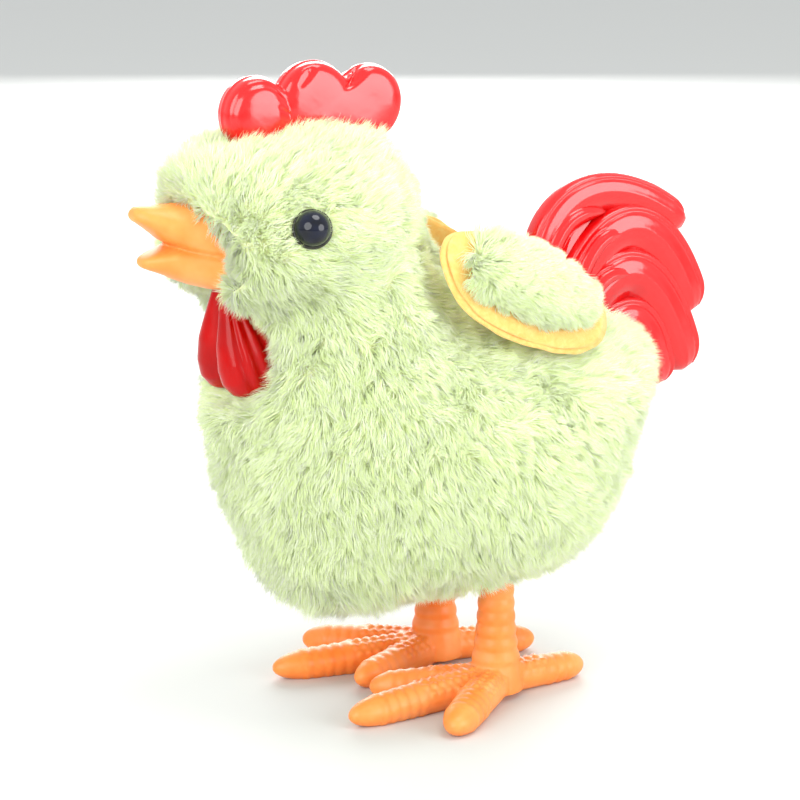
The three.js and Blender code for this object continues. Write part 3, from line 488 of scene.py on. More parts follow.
def build_wattle():
    t = np.linspace(0, 1, 60)
    parts = []
    for side in (1, -1):
        line = bezier([(side * 0.9, -2.6, 1.2), (side * 3.3, -1.2, -6), (side * 4.2, 2.2, -15.2)], t)

        def section(s, angle, side=side):
            full = np.interp(s, *np.array(WATTLE_FULLNESS).T)
            groove = np.zeros(len(angle))
            for place in WATTLE_GROOVES:
                middle = math.radians(place if side > 0 else 180 - place)
                away = (angle - middle + math.pi) % (2 * math.pi) - math.pi
                groove += np.exp(-(away / 0.09) ** 2)
            depth = 1 - 0.11 * groove * min(1, 5 * s) * min(1, 5 * (1 - s))
            return 4.3 * full * np.cos(angle) * depth, 6.1 * full * np.sin(angle) * depth
        parts.append(swept(line, section, 120))
    points, faces = joined(parts)
    mesh = mesh_of("wattle_moulding", points + np.array(WATTLE_PLACE), faces)
    mesh = applied(mesh, ("SMOOTH", {"factor": 0.5, "iterations": 2}))
    show("wattle_moulding", mesh, "chicken", wattle_red, ["wattle"])
    hard.append(mesh)


# Each sickle feather: the controls of its outer edge in (y, z), half breadth, half thickness, blunt tip.
FEATHERS = [
    ([(9.3, 63), (10.5, 80.5), (26, 84.5), (41, 71.8)], 3.9, 2.3, 0.0),
    ([(15, 62), (22, 79), (38, 79), (44.8, 56.5)], 4.5, 2.9, 1.0),
    ([(16, 57), (22.5, 71.5), (37.5, 72.5), (43.8, 46.9)], 4.7, 3.5, 1.0),
    ([(17, 51), (24, 63.5), (36.5, 63), (38.2, 44.4)], 4.7, 4.0, 1.0),
    ([(11, 64), (13, 74), (19, 77.2), (24.6, 73.4)], 2.3, 3.05, -1.0),
    ([(16, 61), (19, 70), (24, 73.8), (28.8, 69.4)], 2.3, 3.7, -1.0),
    ([(17, 57), (20, 65), (26, 67.8), (31.2, 62.0)], 2.2, 4.2, -1.0),
]


FEATHER_STEPS = 90


def build_tail():
    t = np.linspace(0, 1, FEATHER_STEPS)
    parts = []
    for path, breadth, thick, blunt in FEATHERS:
        edge = bezier([(0, y, z) for y, z in path], t)
        along = unit(np.gradient(edge, axis=0))
        inward = np.cross(along, np.array([1.0, 0, 0]))
        run = 0.93 if blunt >= 0 else 0.55
        closing = np.sqrt(1 - np.clip((t - run) / (1.0005 - run), 0, 1) ** 2)
        taper = 1 - (0.3 if blunt == 0 else 0.1) * t
        offset = breadth * taper * (0.5 * (1 + blunt) + 0.5 * (1 - blunt) * closing)
        line = edge + inward * offset[:, None]

        def section(s, angle, breadth=breadth, thick=thick, closing=closing, taper=taper, blunt=blunt):
            i = int(round(s * (FEATHER_STEPS - 1)))
            across = np.sin(angle)
            scoop = 1 - 0.3 * smooth(across, 0.1, 1.0)
            rim = 1 + 0.12 * np.exp(-((across + 0.86) / 0.07) ** 2)
            rim = rim - 0.12 * np.exp(-((across + 0.68) / 0.06) ** 2)
            crest = 1 + 0.05 * np.exp(-((across + 0.12) / 0.12) ** 2)
            side = np.sign(np.cos(angle)) * np.abs(np.cos(angle)) ** 0.62
            end = closing[i] ** (0.6 if blunt >= 0 else 0.35)
            out = thick * end * (1 - 0.2 * s) * side * scoop * rim * crest
            return out, breadth * taper[i] * closing[i] * across
        parts.append(swept(line, section, 108))

    def web(s, angle):
        full = math.sin(math.pi * (0.1 + 0.9 * s)) ** 0.5
        return 1.7 * full * np.cos(angle), 8.5 * full * np.sin(angle)
    line = bezier([(0, 17, 64), (0, 26, 67), (0, 31, 63), (0, 34.5, 54)], np.linspace(0, 1, 40))
    parts.append(swept(line, web, 48))
    points, faces = joined(parts)
    mesh = mesh_of("tail_moulding", points, faces)
    show("tail_moulding", mesh, "chicken", tail_red, ["tail"])
    hard.append(mesh)


def smooth(values, low, high):
    share = np.clip((values - low) / (high - low), 0, 1)
    return share * share * (3 - 2 * share)


EYE_CENTRE, EYE_RADIUS = (19.6, -36.4, 78.2), 2.6


def build_eyes():
    for side, name in ((1, "left"), (-1, "right")):
        centre = np.array(EYE_CENTRE) * (side, 1, 1)
        mesh = mesh_of(f"eye_bead_{name}", *ball(centre, (EYE_RADIUS,) * 3, 6))
        show(f"eye_bead_{name}", mesh, "chicken", eye_finish.material, [f"eye_{name}"])
        hard.append(mesh)
        facing = slope(body_field, centre[None])[0]
        ring = mesh_of(f"eye_rim_{name}", *torus(centre - facing * 0.6, facing, EYE_RADIUS + 0.02, 0.3))
        show(f"eye_rim_{name}", ring, "chicken", eye_rim.material)


def torus(centre, axis, radius, thick, around=72, sides=14):
    first = unit(np.cross(axis, (0.0, 0.0, 1.0)))
    second = np.cross(axis, first)
    turns, angles = np.arange(around) / around * 2 * math.pi, np.arange(sides) / sides * 2 * math.pi
    spokes = np.cos(turns)[:, None] * first + np.sin(turns)[:, None] * second
    points = (centre + spokes[:, None] * (radius + thick * np.cos(angles))[None, :, None]
              + axis * (thick * np.sin(angles))[None, :, None]).reshape(-1, 3)
    faces = [[i * sides + j, (i + 1) % around * sides + j, (i + 1) % around * sides + (j + 1) % sides,
              i * sides + (j + 1) % sides] for i in range(around) for j in range(sides)]
    return points, faces


# ---- Wings ----
WING_TILT, WING_DROOP = 27, -20  # the leaf faces out and up, and its rear end hangs lower
WING_PLACE = (19.6, -1.6, 65.2)
WING_LENGTH, WING_BREADTH = 30.5, 15.6
FELT_THICKNESS, PAD_HEIGHT, GAP = 1.2, 6, 0.3
LEAVES = [  # layer, lowest and highest height, share of the full outline, shift, seed of its waves
    ("lower", 0.0, 0.56, 1.0, (0, 0), 11), ("upper", 0.66, FELT_THICKNESS, 0.955, (0.1, 0.25), 23),
]
PAD_MARGINS = (2.2, 4.6, 2.9)  # how far the pad's fabric lies inside its height, length and breadth
PAD_SWELL = 0.6  # the most that the cloth simulation may move a point


def leaf_outline(steps=30):
    a, b = WING_LENGTH / 2, WING_BREADTH / 2
    spans = [
        [(-a, b * 0.35), (-a, -b * 0.4), (-a * 0.6, -b), (0, -b)],
        [(0, -b), (a * 0.6, -b), (a, -b * 0.8), (a, 0)],
        [(a, 0), (a, b * 0.7), (a * 0.5, b), (0, b)],
        [(0, b), (-a * 0.6, b), (-a, b), (-a, b * 0.35)],
    ]
    t = np.arange(steps) / steps
    return np.concatenate([bezier(span, t) for span in spans])


def wing_frame(side):
    """A function from the leaf's own (outwards, along, up) to the design frame."""
    def place(points):
        local = np.asarray(points, float) @ rotation(0, -WING_TILT).T
        if side < 0:
            local = local * (-1, 1, 1)
        return local @ rotation(WING_DROOP).T + np.array(WING_PLACE) * (side, 1, 1)
    return place


def leaf_sheet(place, w0, w1, scale=1.0, shift=(0, 0), seed=0, rings=14):
    """A felt leaf between two heights, with a softly waved edge."""
    outline = leaf_outline() * scale
    wavy = waves(np.c_[outline, np.zeros(len(outline))], 5, seed)
    outline = outline * (1 + 0.012 * wavy[:, None]) + np.array(shift)
    n = len(outline)
    shares = np.linspace(0, 1, rings + 1)[1:]
    sides = []
    for w, sign in ((w1, 1), (w0, -1)):
        points = [[w, *shift]]
        for share in shares:
            ring = outline * share + np.array(shift) * (1 - share)
            lift = 0.22 * waves(np.c_[ring, np.zeros(n)], 7, seed + 5) * share ** 2
            edge = -sign * 0.16 * share ** 14
            points += [[w + lift[i] + edge, ring[i][0], ring[i][1]] for i in range(n)]
        sides.append(np.array(points))
    faces = []
    for start, flip in ((0, False), (len(sides[0]), True)):
        def index(ring, i):
            return start if ring < 0 else start + 1 + ring * n + i % n
        for i in range(n):
            face = [index(-1, 0), index(0, i), index(0, i + 1)]
            faces.append(face[::-1] if flip else face)
            for ring in range(rings - 1):
                face = [index(ring, i), index(ring + 1, i), index(ring + 1, i + 1), index(ring, i + 1)]
                faces.append(face[::-1] if flip else face)
    top, bottom = 1 + (rings - 1) * n, len(sides[0]) + 1 + (rings - 1) * n
    for i in range(n):
        k = (i + 1) % n
        faces.append([top + i, bottom + i, bottom + k, top + k])
    return place(np.concatenate(sides)), faces


def build_wings():
    for side, name in ((1, "left"), (-1, "right")):
        place = wing_frame(side)
        for layer, low, high, scale, shift, seed in LEAVES:
            points, faces = leaf_sheet(place, low, high, scale, shift, seed)
            faces = [f[::-1] for f in faces] if side < 0 else faces
            mesh = mesh_of(f"wing_leaf_{layer}_{name}", points, faces)
            leaf = show(f"wing_leaf_{layer}_{name}", mesh, "chicken", felt_finish.material,
                        [f"wing_felt_{name}"] if layer == "lower" else [])
            edge = leaf_outline() * scale * MM
            hard.append(mesh)
        build_pad(side, name, place)


def build_pad(side, name, place):
    directions, faces = sphere(6)
    half = np.array([PAD_HEIGHT, WING_LENGTH / 2, WING_BREADTH / 2]) - PAD_MARGINS
    local = np.sign(directions) * np.abs(directions) ** 0.9 * half
    local[local[:, 0] < 0, 0] *= 0.05
    local[:, 0] += FELT_THICKNESS + GAP + 0.1
    local[:, 2] *= 1 - 0.2 * local[:, 1] / half[1]  # lower towards the rear
    local[:, 1] += 0.1
    local[:, 2] += 1.3 - 0.7 * local[:, 1] / half[1]  # and its front end rides up
    local = plumped(local, faces, PAD_SWELL)
    local[:, 0] = np.maximum(local[:, 0], FELT_THICKNESS + GAP)
    points = place(local)
    if side < 0:
        faces = [f[::-1] for f in faces]
    mesh = mesh_of(f"wing_pad_{name}", points, faces)
    pad = show(f"wing_pad_{name}", mesh, "chicken", coat_finish.material, [f"wing_plush_{name}"])

    def length_at(roots, normals):
        """Longer at the front of the wing's upper edge, where the pile stands up in a tuft."""
        return 1 + 0.7 * smooth(-roots[:, 1], 3, 10) * smooth(roots[:, 2], 66, 70)
    count, thickness = ((34000, 1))
    grow_pile(f"wing_pile_{name}", points, faces, count, 2.5, pad_flow, seed=31 + side, length_at=length_at,
              thickness=thickness)


def plumped(points, faces, most):
    """A pad blown up by a cloth simulation, its base held. No point ends up over most mm from its place."""
    size = 10 * MM  # simulated at ten times its size, which the solver handles better
    mesh = mesh_of("plumping", points * size, faces, in_frame=False)
    body = bpy.data.objects.new("plumping", mesh)
    scene = bpy.context.scene
    scene.collection.objects.link(body)
    base = body.vertex_groups.new(name="base")
    base.add([int(i) for i in np.nonzero(points[:, 0] < points[:, 0].min() + 0.25)[0]], 1.0, "REPLACE")
    cloth = body.modifiers.new("cloth", "CLOTH")
    cloth.settings.quality = 5
    cloth.settings.use_pressure = True
    cloth.settings.uniform_pressure_force = 4
    cloth.settings.effector_weights.gravity = 0
    cloth.settings.vertex_group_mass = "base"
    for step in range(1, 21):
        scene.frame_set(step)
    posed = body.evaluated_get(bpy.context.evaluated_depsgraph_get())
    settled = points_of(bpy.data.meshes.new_from_object(posed))
    scene.frame_set(1)
    bpy.data.objects.remove(body)
    moved = settled / size - points
    reach = np.linalg.norm(moved, axis=1, keepdims=True)
    return points + moved * np.minimum(1, most / np.maximum(reach, 1e-9))


def pad_flow(points, normals):
    return unit(np.array([0.0, 0.75, -0.5]) + 0.5 * wave_vectors(points, 5, 71))


# ---- Legs ----
ANKLE_X, TOE_OUT = 9.6, 7.4
TOES = [  # direction from straight ahead, length, half width, half height
    (0, 27.8, 2.8, 2.6), (35.7, 22.4, 2.9, 2.6), (-30, 19.8, 2.5, 2.5), (180, 17.3, 2.6, 2.4),
]
SHANK_ROWS = [  # height, half width, half depth
    (2, 4.2, 4.4), (4.6, 3.8, 4), (7, 3.25, 3.35), (10, 2.95, 3.0), (14, 2.7, 2.7), (20.5, 2.45, 2.55),
]
SHANK_TOP, SHANK_STEPS = 20.5, 120
BUMP_PITCH, BUMP_ROWS = 1.5, (30, 60, 90, 120, 150)  # on the toes: spacing, and degrees round from the side


def build_legs():
    for side, name in ((1, "left"), (-1, "right")):
        parts = []
        for turn, length, wide, high in TOES:
            parts += toe(turn * side, length, wide, high)
        parts.append(shank())
        mesh = moulded(f"leg_moulding_{name}", parts, 0.26, 2)
        points = points_of(mesh)
        points[:, 2] = np.maximum(points[:, 2], 0.0)
        points = points @ rotation(0, 0, side * TOE_OUT).T + np.array([side * ANKLE_X, 0, 0])
        set_points(mesh, (points + SHIFT) * MM)
        joined_mesh = with_upper_leg(mesh, f"leg_{name}")
        show(f"leg_moulding_{name}", joined_mesh, f"{name}_leg", leg_orange, [f"leg_{name}"])
        hard.append(joined_mesh)


def with_upper_leg(mesh, node):
    """The foot and shank, with the part of the CAD leg above them."""
    upper = bmesh.new()
    upper.from_mesh(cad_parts[node].data)
    cut = (SHANK_TOP - 0.6) * MM
    bmesh.ops.bisect_plane(upper, geom=upper.verts[:] + upper.edges[:] + upper.faces[:],
                           plane_co=(0, 0, cut), plane_no=(0, 0, -1), clear_outer=True)
    bmesh.ops.holes_fill(upper, edges=upper.edges[:])
    upper.from_mesh(mesh)
    made = bpy.data.meshes.new(mesh.name)
    upper.to_mesh(made)
    upper.free()
    return made


def toe(turn, length, wide, high):
    """A rounded toe along -Y, turned about Z: rows of bumps near the ankle, then bands, then a blunt tip."""
    line = bezier([(0, 0, 2.5), (0, -length, 1.9)], np.linspace(0, 1, 110))
    bumpy, banded, tip = (3.2, 0.52 * length), (0.52 * length, 0.86 * length), 0.8

    def section(s, angle):
        end = math.sqrt(max(0.0, 1 - max(0.0, (s - tip) / (1.0001 - tip)) ** 2))
        reach = s * length
        band = 0.0
        if banded[0] < reach < banded[1]:
            band = 0.13 * abs(math.sin((reach - banded[0]) / 1.8 * math.pi)) ** 0.6 - 0.05
        thin = (1.04 - 0.2 * s * s) * end
        return wide * thin * np.cos(angle) * (1 + band * 0.7), high * thin * np.sin(angle) * (1 + band)
    spin = rotation(0, 0, turn)
    points, faces = swept(line, section, 36)
    parts = [(points @ spin.T, faces)]
    for row, angle in enumerate(BUMP_ROWS):
        across, up = math.cos(math.radians(angle)), math.sin(math.radians(angle))
        size = 0.72 if 45 < angle < 135 else 0.6
        along = bumpy[0] + BUMP_PITCH / 2 * (row % 2)
        while along < bumpy[1]:
            centre = np.array([wide * across, -along, 2.5 - 0.6 * along / length + high * up])
            knob, knob_faces = ball(centre - np.array([across, 0, up]) * 0.25, (size,) * 3, 2)
            parts.append((knob @ spin.T, knob_faces))
            along += BUMP_PITCH
    return parts


def shank():
    """The ringed lower leg."""
    at, wide, deep = np.array(SHANK_ROWS).T
    heights = np.linspace(1.0, SHANK_TOP, SHANK_STEPS)
    across, fore = np.interp(heights, at, wide), np.interp(heights, at, deep)

    def section(s, angle):
        i = int(round(s * (SHANK_STEPS - 1)))
        ring = 1.0
        if heights[i] > 5.6:
            ring += 0.11 * abs(math.sin((heights[i] - 5.6) / 2.1 * math.pi)) ** 0.6 - 0.02
        return across[i] * np.cos(angle) * ring, fore[i] * np.sin(angle) * ring
    return swept(np.c_[0 * heights, 0 * heights, heights], section, 40)


# ---- Plush ----
PER_PIECE = 22000  # strands in one mesh
TUFT_AREA = 2.0  # square millimetres that lean together
TUFT_LEAN, STRAND_LEAN = 0.18, 0.19  # how unevenly tufts and strands lean
TUFT_PULL = 0.3  # how far a strand's tip is drawn to its tuft's
LIFT, LEAN, LEAST_LIFT = 0.85, 0.62, 0.28  # of a strand, out of the fabric and along its lay
STRAND_RADII, STRAND_WAIST = (0.034, 0.052), 0.85  # at the root, and the share left at the bend


def grow_pile(name, points, faces, count, length, flow, seed, length_at, keep=None, thickness=1):
    """Tapered pile strands over a surface, gathered into small tufts."""
    rng = np.random.default_rng(seed)
    points = np.asarray(points, float)
    triangles = np.array([f[:3] for f in faces] + [[f[0], f[2], f[3]] for f in faces if len(f) == 4])
    a, b, c = points[triangles[:, 0]], points[triangles[:, 1]], points[triangles[:, 2]]
    crossed = np.cross(b - a, c - a)
    areas = np.linalg.norm(crossed, axis=1)
    vertex_normals = np.zeros_like(points)
    for k in range(3):
        np.add.at(vertex_normals, triangles[:, k], crossed)
    vertex_normals = unit(vertex_normals)
    chosen = rng.choice(len(areas), count, p=areas / areas.sum())
    u, v = rng.random((2, count, 1))
    u, v = np.where(u + v > 1, 1 - u, u), np.where(u + v > 1, 1 - v, v)
    roots = a[chosen] + u * (b[chosen] - a[chosen]) + v * (c[chosen] - a[chosen])
    first, second, third = (vertex_normals[triangles[chosen, k]] for k in range(3))
    normals = unit(first * (1 - u - v) + second * u + third * v)
    if keep is not None:
        kept = keep(roots, normals)
        roots, normals = roots[kept], normals[kept]
    count = len(roots)
    lengths = length * rng.uniform(0.74, 1.1, count) * length_at(roots, normals)
    tufts = rng.choice(count, max(8, int(areas.sum() / 2 / TUFT_AREA)), replace=False)
    tree = KDTree(len(tufts))
    for i, t in enumerate(tufts):
        tree.insert(roots[t], i)
    tree.balance()
    owner = np.array([tree.find(p)[1] for p in roots])
    tuft_lean = rng.normal(0, TUFT_LEAN, (len(tufts), 3))
    tuft_length = rng.uniform(0.9, 1.12, len(tufts))
    lay = flow(roots, normals)
    lay = unit(lay - (lay * normals).sum(1, keepdims=True) * normals)
    lengths = lengths * tuft_length[owner]
    stray = rng.normal(0, STRAND_LEAN, (count, 3))
    heading = unit(normals * LIFT + lay * LEAN + tuft_lean[owner] + stray)
    below = (heading * normals).sum(1)
    heading = unit(heading + normals * np.maximum(0, LEAST_LIFT - below)[:, None])
    start = unit(heading + normals * 0.9)
    tuft_tips = roots[tufts] + heading[tufts] * (lengths[tufts] * 1.05)[:, None]
    spine = []
    wobble = rng.normal(0, 0.16, (count, 3))
    for s in (0.0, 0.5, 1.0):
        curve = start * s * (1 - s) + heading * s * s + heading * s * (1 - s) * 0.2
        bent = roots + lengths[:, None] * curve
        bent = bent + (tuft_tips[owner] - bent) * (TUFT_PULL * s ** 1.6)
        bent = bent + wobble * (lengths[:, None] / 4) * math.sin(math.pi * s)
        spine.append(bent)
    spine = np.stack(spine, axis=1)
    spine, normals = clear_of_trim(spine, normals)
    build_strands(name, spine, normals, rng, thickness)


def clear_of_trim(spine, normals):
    """Drops strands that run into the moulded pieces."""
    good = np.ones(len(spine), bool)
    for mesh in hard:
        corners = points_of(mesh)
        low, high = corners.min(0) - 0.001, corners.max(0) + 0.001
        tree = BVHTree.FromPolygons([tuple(p) for p in corners], [tuple(p.vertices) for p in mesh.polygons])
        for probe in (spine[:, 1], (spine[:, 1] + spine[:, 2]) / 2, spine[:, 2]):
            place = (probe + SHIFT) * MM
            near = np.nonzero(good & (place > low).all(1) & (place < high).all(1))[0]
            for i in near:
                hit, normal, _, _ = tree.find_nearest(Vector(place[i]))
                if hit is not None and (Vector(place[i]) - hit).dot(normal) < 0.00002:
                    good[i] = False
    return spine[good], normals[good]


def build_strands(name, spine, normals, rng, thickness):
    """Each strand is a slim three-sided spike with one bend, shaded as part of the whole pile."""
    count = len(spine)
    along = unit(np.gradient(spine, axis=1))
    outward = unit(normals[:, None] - (along * normals[:, None]).sum(2, keepdims=True) * along)
    across = np.cross(along, outward)
    turns = rng.uniform(0, 2 * math.pi, count)[:, None] - np.arange(3) * 2 * math.pi / 3
    radius = thickness * rng.uniform(*STRAND_RADII, count)[:, None, None, None]
    radius = radius * np.array([1.0, STRAND_WAIST])[:, None, None]
    turns = turns[:, None, :, None]
    spread = np.cos(turns) * across[:, :2, None] + np.sin(turns) * outward[:, :2, None]
    rings = spine[:, :2, None] + spread * radius
    points = np.concatenate([rings.reshape(count, 6, 3), spine[:, 2:]], axis=1)
    lit = unit(normals[:, None, None] + 0.3 * spread)
    shading = np.concatenate([lit.reshape(count, 6, 3), normals[:, None]], axis=1)
    sides = np.array([[0, 1, 4, 3], [1, 2, 5, 4], [2, 0, 3, 5]]).ravel()
    tips = np.array([[3, 4, 6], [4, 5, 6], [5, 3, 6]]).ravel()
    starts = np.array([0, 4, 8, 12, 15, 18])
    shades = rng.choice(len(PILE), count, p=PILE_SHARES)
    for piece, first in enumerate(range(0, count, PER_PIECE)):
        part = slice(first, min(count, first + PER_PIECE))
        order = np.arange(part.stop - part.start)[:, None]
        loops = (np.concatenate([sides, tips]) + order * 7).ravel()
        places = (points[part].reshape(-1, 3) + SHIFT) * MM
        mesh = bpy.data.meshes.new(f"{name}_{piece}")
        mesh.vertices.add(len(places))
        mesh.vertices.foreach_set("co", places.astype(np.float32).ravel())
        mesh.loops.add(len(loops))
        mesh.loops.foreach_set("vertex_index", loops.astype(np.int32))
        mesh.polygons.add(len(order) * 6)
        mesh.polygons.foreach_set("loop_start", (order * 21 + starts).astype(np.int32).ravel())
        for material in PILE:
            mesh.materials.append(material)
        mesh.polygons.foreach_set("material_index", np.repeat(shades[part], 6).astype(np.int32))
        mesh.update(calc_edges=True)
        mesh.validate()
        show(f"{name}_{piece}", mesh, "chicken", None)
        mesh.normals_split_custom_set_from_vertices(shading[part].reshape(-1, 3).astype(np.float32).tolist())


def body_flow(points, normals):
    """Which way the pile lies: away from the beak over the head, down the breast, back over the rump."""
    from_beak = unit(points - np.array([0, -54.0, 73.0]))
    head = 1 / (1 + np.exp(-(points[:, 2] - 66) / 4))[:, None]
    rear = 1 / (1 + np.exp(-(points[:, 1] + 6) / 6))[:, None]
    down = np.array([0.0, 0.15, -1.0])
    back = np.array([0.0, 1.0, -0.25])
    rest = down * (1 - rear) + (back * 0.75 + down * 0.5) * rear
    return unit(from_beak * head + rest * (1 - head) + 0.55 * wave_vectors(points, 9, 41))


LEG_ROOM = (3.6, 5.6)  # half of each opening in the coat's belly, across and fore-aft
LEG_SWEEP = (1.3, 2.2)  # how much wider the pile stays clear, so that a leg can swing
LEG_CUT = (5.0, 40.0)  # the heights between which the leg openings are cut
COAT_DEPTH, COAT_FABRIC = 1.5, 1.0  # how far the fabric lies under the tips of the pile, and its thickness


def build_coat():
    points, faces = inflated(body_field, BODY_CORE, 7, BODY_REACH)
    normals = slope(body_field, points)
    lumps = 0.3 * waves(points, 7, 3) + 0.16 * waves(points, 3.2, 4)
    outer = points + normals * (-COAT_DEPTH + lumps[:, None])
    inner = points + normals * (-COAT_DEPTH - COAT_FABRIC)
    cutters = [(inner, faces)] + [leg_cutter(side) for side in (1, -1)]
    mesh = mesh_of("coat_backing", outer, faces)
    for cutter in cutters:
        tool = bpy.data.objects.new("cutter", mesh_of("cutter", *cutter))
        bpy.context.scene.collection.objects.link(tool)
        mesh = applied(mesh, ("BOOLEAN", {"operation": "DIFFERENCE", "solver": "MANIFOLD", "object": tool}))
        bpy.data.objects.remove(tool)
    coat = show("coat_backing", mesh, "chicken", coat_finish.material, ["plush_coat"])

    def length_at(roots, normals):
        """Shorter round the eyes, the beak, the bib and the nape, and longer on the breast."""
        eye = np.minimum(np.linalg.norm(roots - np.array(EYE_CENTRE), axis=1),
                         np.linalg.norm(roots - np.array(EYE_CENTRE) * (-1, 1, 1), axis=1))
        face = np.linalg.norm((roots - np.array([0, -47, 72.5])) / (8.5, 6, 8), axis=1)
        bib = np.linalg.norm(roots - np.array([0, -40, 65]), axis=1)
        nape = smooth(normals[:, 1], 0.2, 0.8) * smooth(roots[:, 2], 58, 66)
        breast = smooth(-roots[:, 1], 10, 24) * smooth(-roots[:, 2], -30, -20)
        short = np.clip(0.42 + (eye - 2.6) / 6, 0.42, 1) * np.clip(0.8 + (face - 1) * 0.6, 0.8, 1)
        return short * np.clip(0.55 + (bib - 6) / 10, 0.55, 1) * (1 - 0.35 * nape) * (1 + 0.5 * breast)

    def keep(roots, normals):
        across = (np.abs(roots[:, 0]) - ANKLE_X) / (LEG_ROOM[0] + LEG_SWEEP[0])
        legs = np.hypot(across, roots[:, 1] / (LEG_ROOM[1] + LEG_SWEEP[1]))
        return (legs > 1) | (roots[:, 2] > LEG_CUT[1])
    count, thickness = ((340000, 1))
    grow_pile("coat_pile", outer, faces, count, 3.5, body_flow, seed=7, length_at=length_at, keep=keep,
              thickness=thickness)


def leg_cutter(side, sides=48):
    """An upright prism that cuts one leg's opening."""
    turns = np.arange(sides) / sides * 2 * math.pi
    rim = np.c_[side * ANKLE_X + LEG_ROOM[0] * np.cos(turns), LEG_ROOM[1] * np.sin(turns)]
    points = np.concatenate([np.c_[rim, np.full(sides, height)] for height in LEG_CUT])
    wall = [[i, (i + 1) % sides, sides + (i + 1) % sides, sides + i] for i in range(sides)]
    return points, wall + [list(range(sides))[::-1], list(range(sides, 2 * sides))]


# ---- Inside ----
PLASTICS = {  # slot: material, deep and bright colour, roughness, depth of its grain
    "shell_white": ("moulding_plastic", srgb(232, 230, 218), srgb(244, 242, 232), 0.45, 0.03),
    "gearbox_grey": ("frame_plastic", srgb(206, 204, 194), srgb(222, 220, 210), 0.5, 0.03),
    "gear_nylon": ("nylon_plastic", srgb(236, 232, 214), srgb(248, 246, 232), 0.4, 0.02),
    "knob_ivory": ("grip_plastic", srgb(228, 223, 206), srgb(240, 236, 220), 0.35, 0.02),
}
METALS = {"steel": (srgb(176, 178, 182), 0.28), "spring_steel": (srgb(132, 138, 146), 0.34)}
SLOT_OF = [  # how a node's name starts, and its slot; the first that fits counts
    ("shell_screw", "steel"), ("shell", "shell_white"), ("eye_washer", "steel"), ("gearbox_screw", "steel"),
    ("gearbox", "gearbox_grey"), ("mainspring", "spring_steel"), ("ratchet_click", "spring_steel"),
    ("leg_shaft", "steel"), ("leg_cap", "steel"), ("winding_shaft", "steel"),
    ("winding_knob", "knob_ivory"), ("", "gear_nylon"),
]


def build_inside():
    """Materials and softened edges for the CAD pieces that are shown as they are."""
    made = {}
    for slot, (name, deep, bright, rough, depth) in PLASTICS.items():
        finish = Finish(name, rough)
        finish.colours(finish.noise(5, 3), (0.3, deep), (0.7, bright))
        finish.rough(finish.noise(1.5, 3), rough * 0.85, rough * 1.2)
        finish.bump(finish.noise(0.6, 3), depth)
        made[slot] = finish.material
    for slot, (colour, rough) in METALS.items():
        finish = Finish(f"{slot}_metal", rough, Metallic=1.0)
        dull = tuple(c * 0.8 for c in colour[:3]) + (1,)
        finish.colours(finish.noise(0.5, 3, stretch=(1, 12, 12)), (0.3, dull), (0.7, colour))
        finish.rough(finish.noise(0.4, 3, stretch=(1, 10, 10)), rough * 0.7, rough * 1.4)
        made[slot] = finish.material
    for node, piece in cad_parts.items():
        if piece.hide_render:
            continue
        slot = next(slot for start, slot in SLOT_OF if node.startswith(start))
        piece.data.materials.clear()
        piece.data.materials.append(made[slot])
        bevel = piece.modifiers.new("edge", "BEVEL")
        bevel.width, bevel.segments, bevel.limit_method = 0.18 * MM, 2, "ANGLE"


# ---- Studio ----
LAMPS = [  # name, place, size, power, colour
    ("top", (0.12, 0.10, 0.62), 0.36, 1.9, (0.99, 1.0, 0.99)),
    ("window", (0.58, 0.30, 0.18), 0.46, 2.5, (0.97, 0.98, 1.0)),
    ("front", (0.34, -0.60, 0.34), 0.6, 3.7, (0.99, 1.0, 0.99)),
    ("back", (-0.58, 0.30, 0.34), 0.6, 4.8, (0.99, 1.0, 0.99)),
]
CAMERA_AZIMUTH, CAMERA_ELEVATION, CAMERA_DISTANCE, CAMERA_LENS = 60.72, 13.31, 0.44907, 130.7


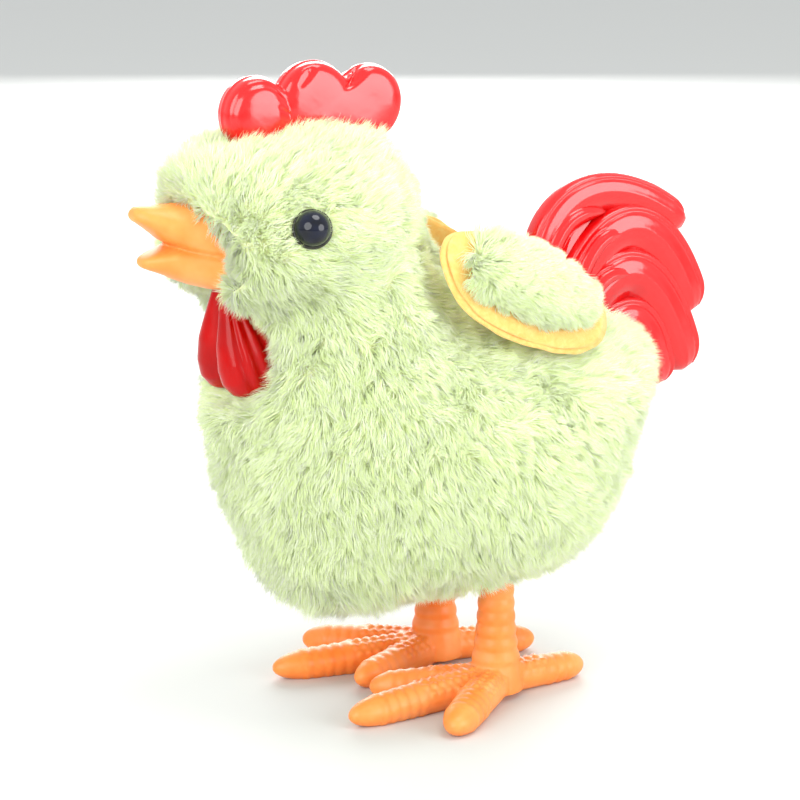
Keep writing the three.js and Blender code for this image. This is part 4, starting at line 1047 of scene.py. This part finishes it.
def build_studio():
    floor_mesh = bpy.data.meshes.new("floor")
    floor_mesh.from_pydata([(-8, -8, 0), (8, -8, 0), (8, 8, 0), (-8, 8, 0)], [], [[0, 1, 2, 3]])
    floor = bpy.data.objects.new("floor", floor_mesh)
    bpy.context.scene.collection.objects.link(floor)
    floor_finish = Finish("floor_pale", 0.8)
    floor_finish.shader.inputs["Base Color"].default_value = (0.6, 0.6, 0.585, 1)
    floor_mesh.materials.append(floor_finish.material)

    world = bpy.data.worlds.new("studio")
    world.use_nodes = True
    world.node_tree.nodes["Background"].inputs["Color"].default_value = (0.96, 0.99, 1.0, 1)
    world.node_tree.nodes["Background"].inputs["Strength"].default_value = 0.95
    bpy.context.scene.world = world
    bpy.context.scene.view_settings.view_transform = "Standard"

    target = Vector((0.0, -0.005, 0.05))
    for name, place, size, power, colour in LAMPS:
        light = bpy.data.lights.new(name, "AREA")
        light.shape, light.size, light.energy, light.color = "DISK", size, power, colour
        lamp = bpy.data.objects.new(name, light)
        lamp.location = place
        lamp.rotation_mode = "QUATERNION"
        lamp.rotation_quaternion = (target - Vector(place)).to_track_quat("-Z", "Y")
        bpy.context.scene.collection.objects.link(lamp)

    azimuth, elevation = math.radians(CAMERA_AZIMUTH), math.radians(CAMERA_ELEVATION)
    level = math.cos(elevation)
    back = Vector((math.sin(azimuth) * level, -math.cos(azimuth) * level, math.sin(elevation)))
    right = Vector((math.cos(azimuth), math.sin(azimuth), 0))
    up = back.cross(right)
    middle = Vector(((SHIFT + (0, -5, 45)) * MM).tolist())
    camera = bpy.data.objects.new("camera", bpy.data.cameras.new("camera"))
    bpy.context.scene.collection.objects.link(camera)
    camera.data.sensor_width, camera.data.lens = 36, CAMERA_LENS
    camera.location = middle + back * CAMERA_DISTANCE
    aim = middle - right * 0.00592 + up * 0.00072
    camera.rotation_mode = "QUATERNION"
    camera.rotation_quaternion = (aim - camera.location).to_track_quat("-Z", "Y")
    camera.data.clip_start = 0.01
    bpy.context.scene.camera = camera


build_trim()
build_wings()
build_legs()
build_coat()
build_inside()
build_studio()
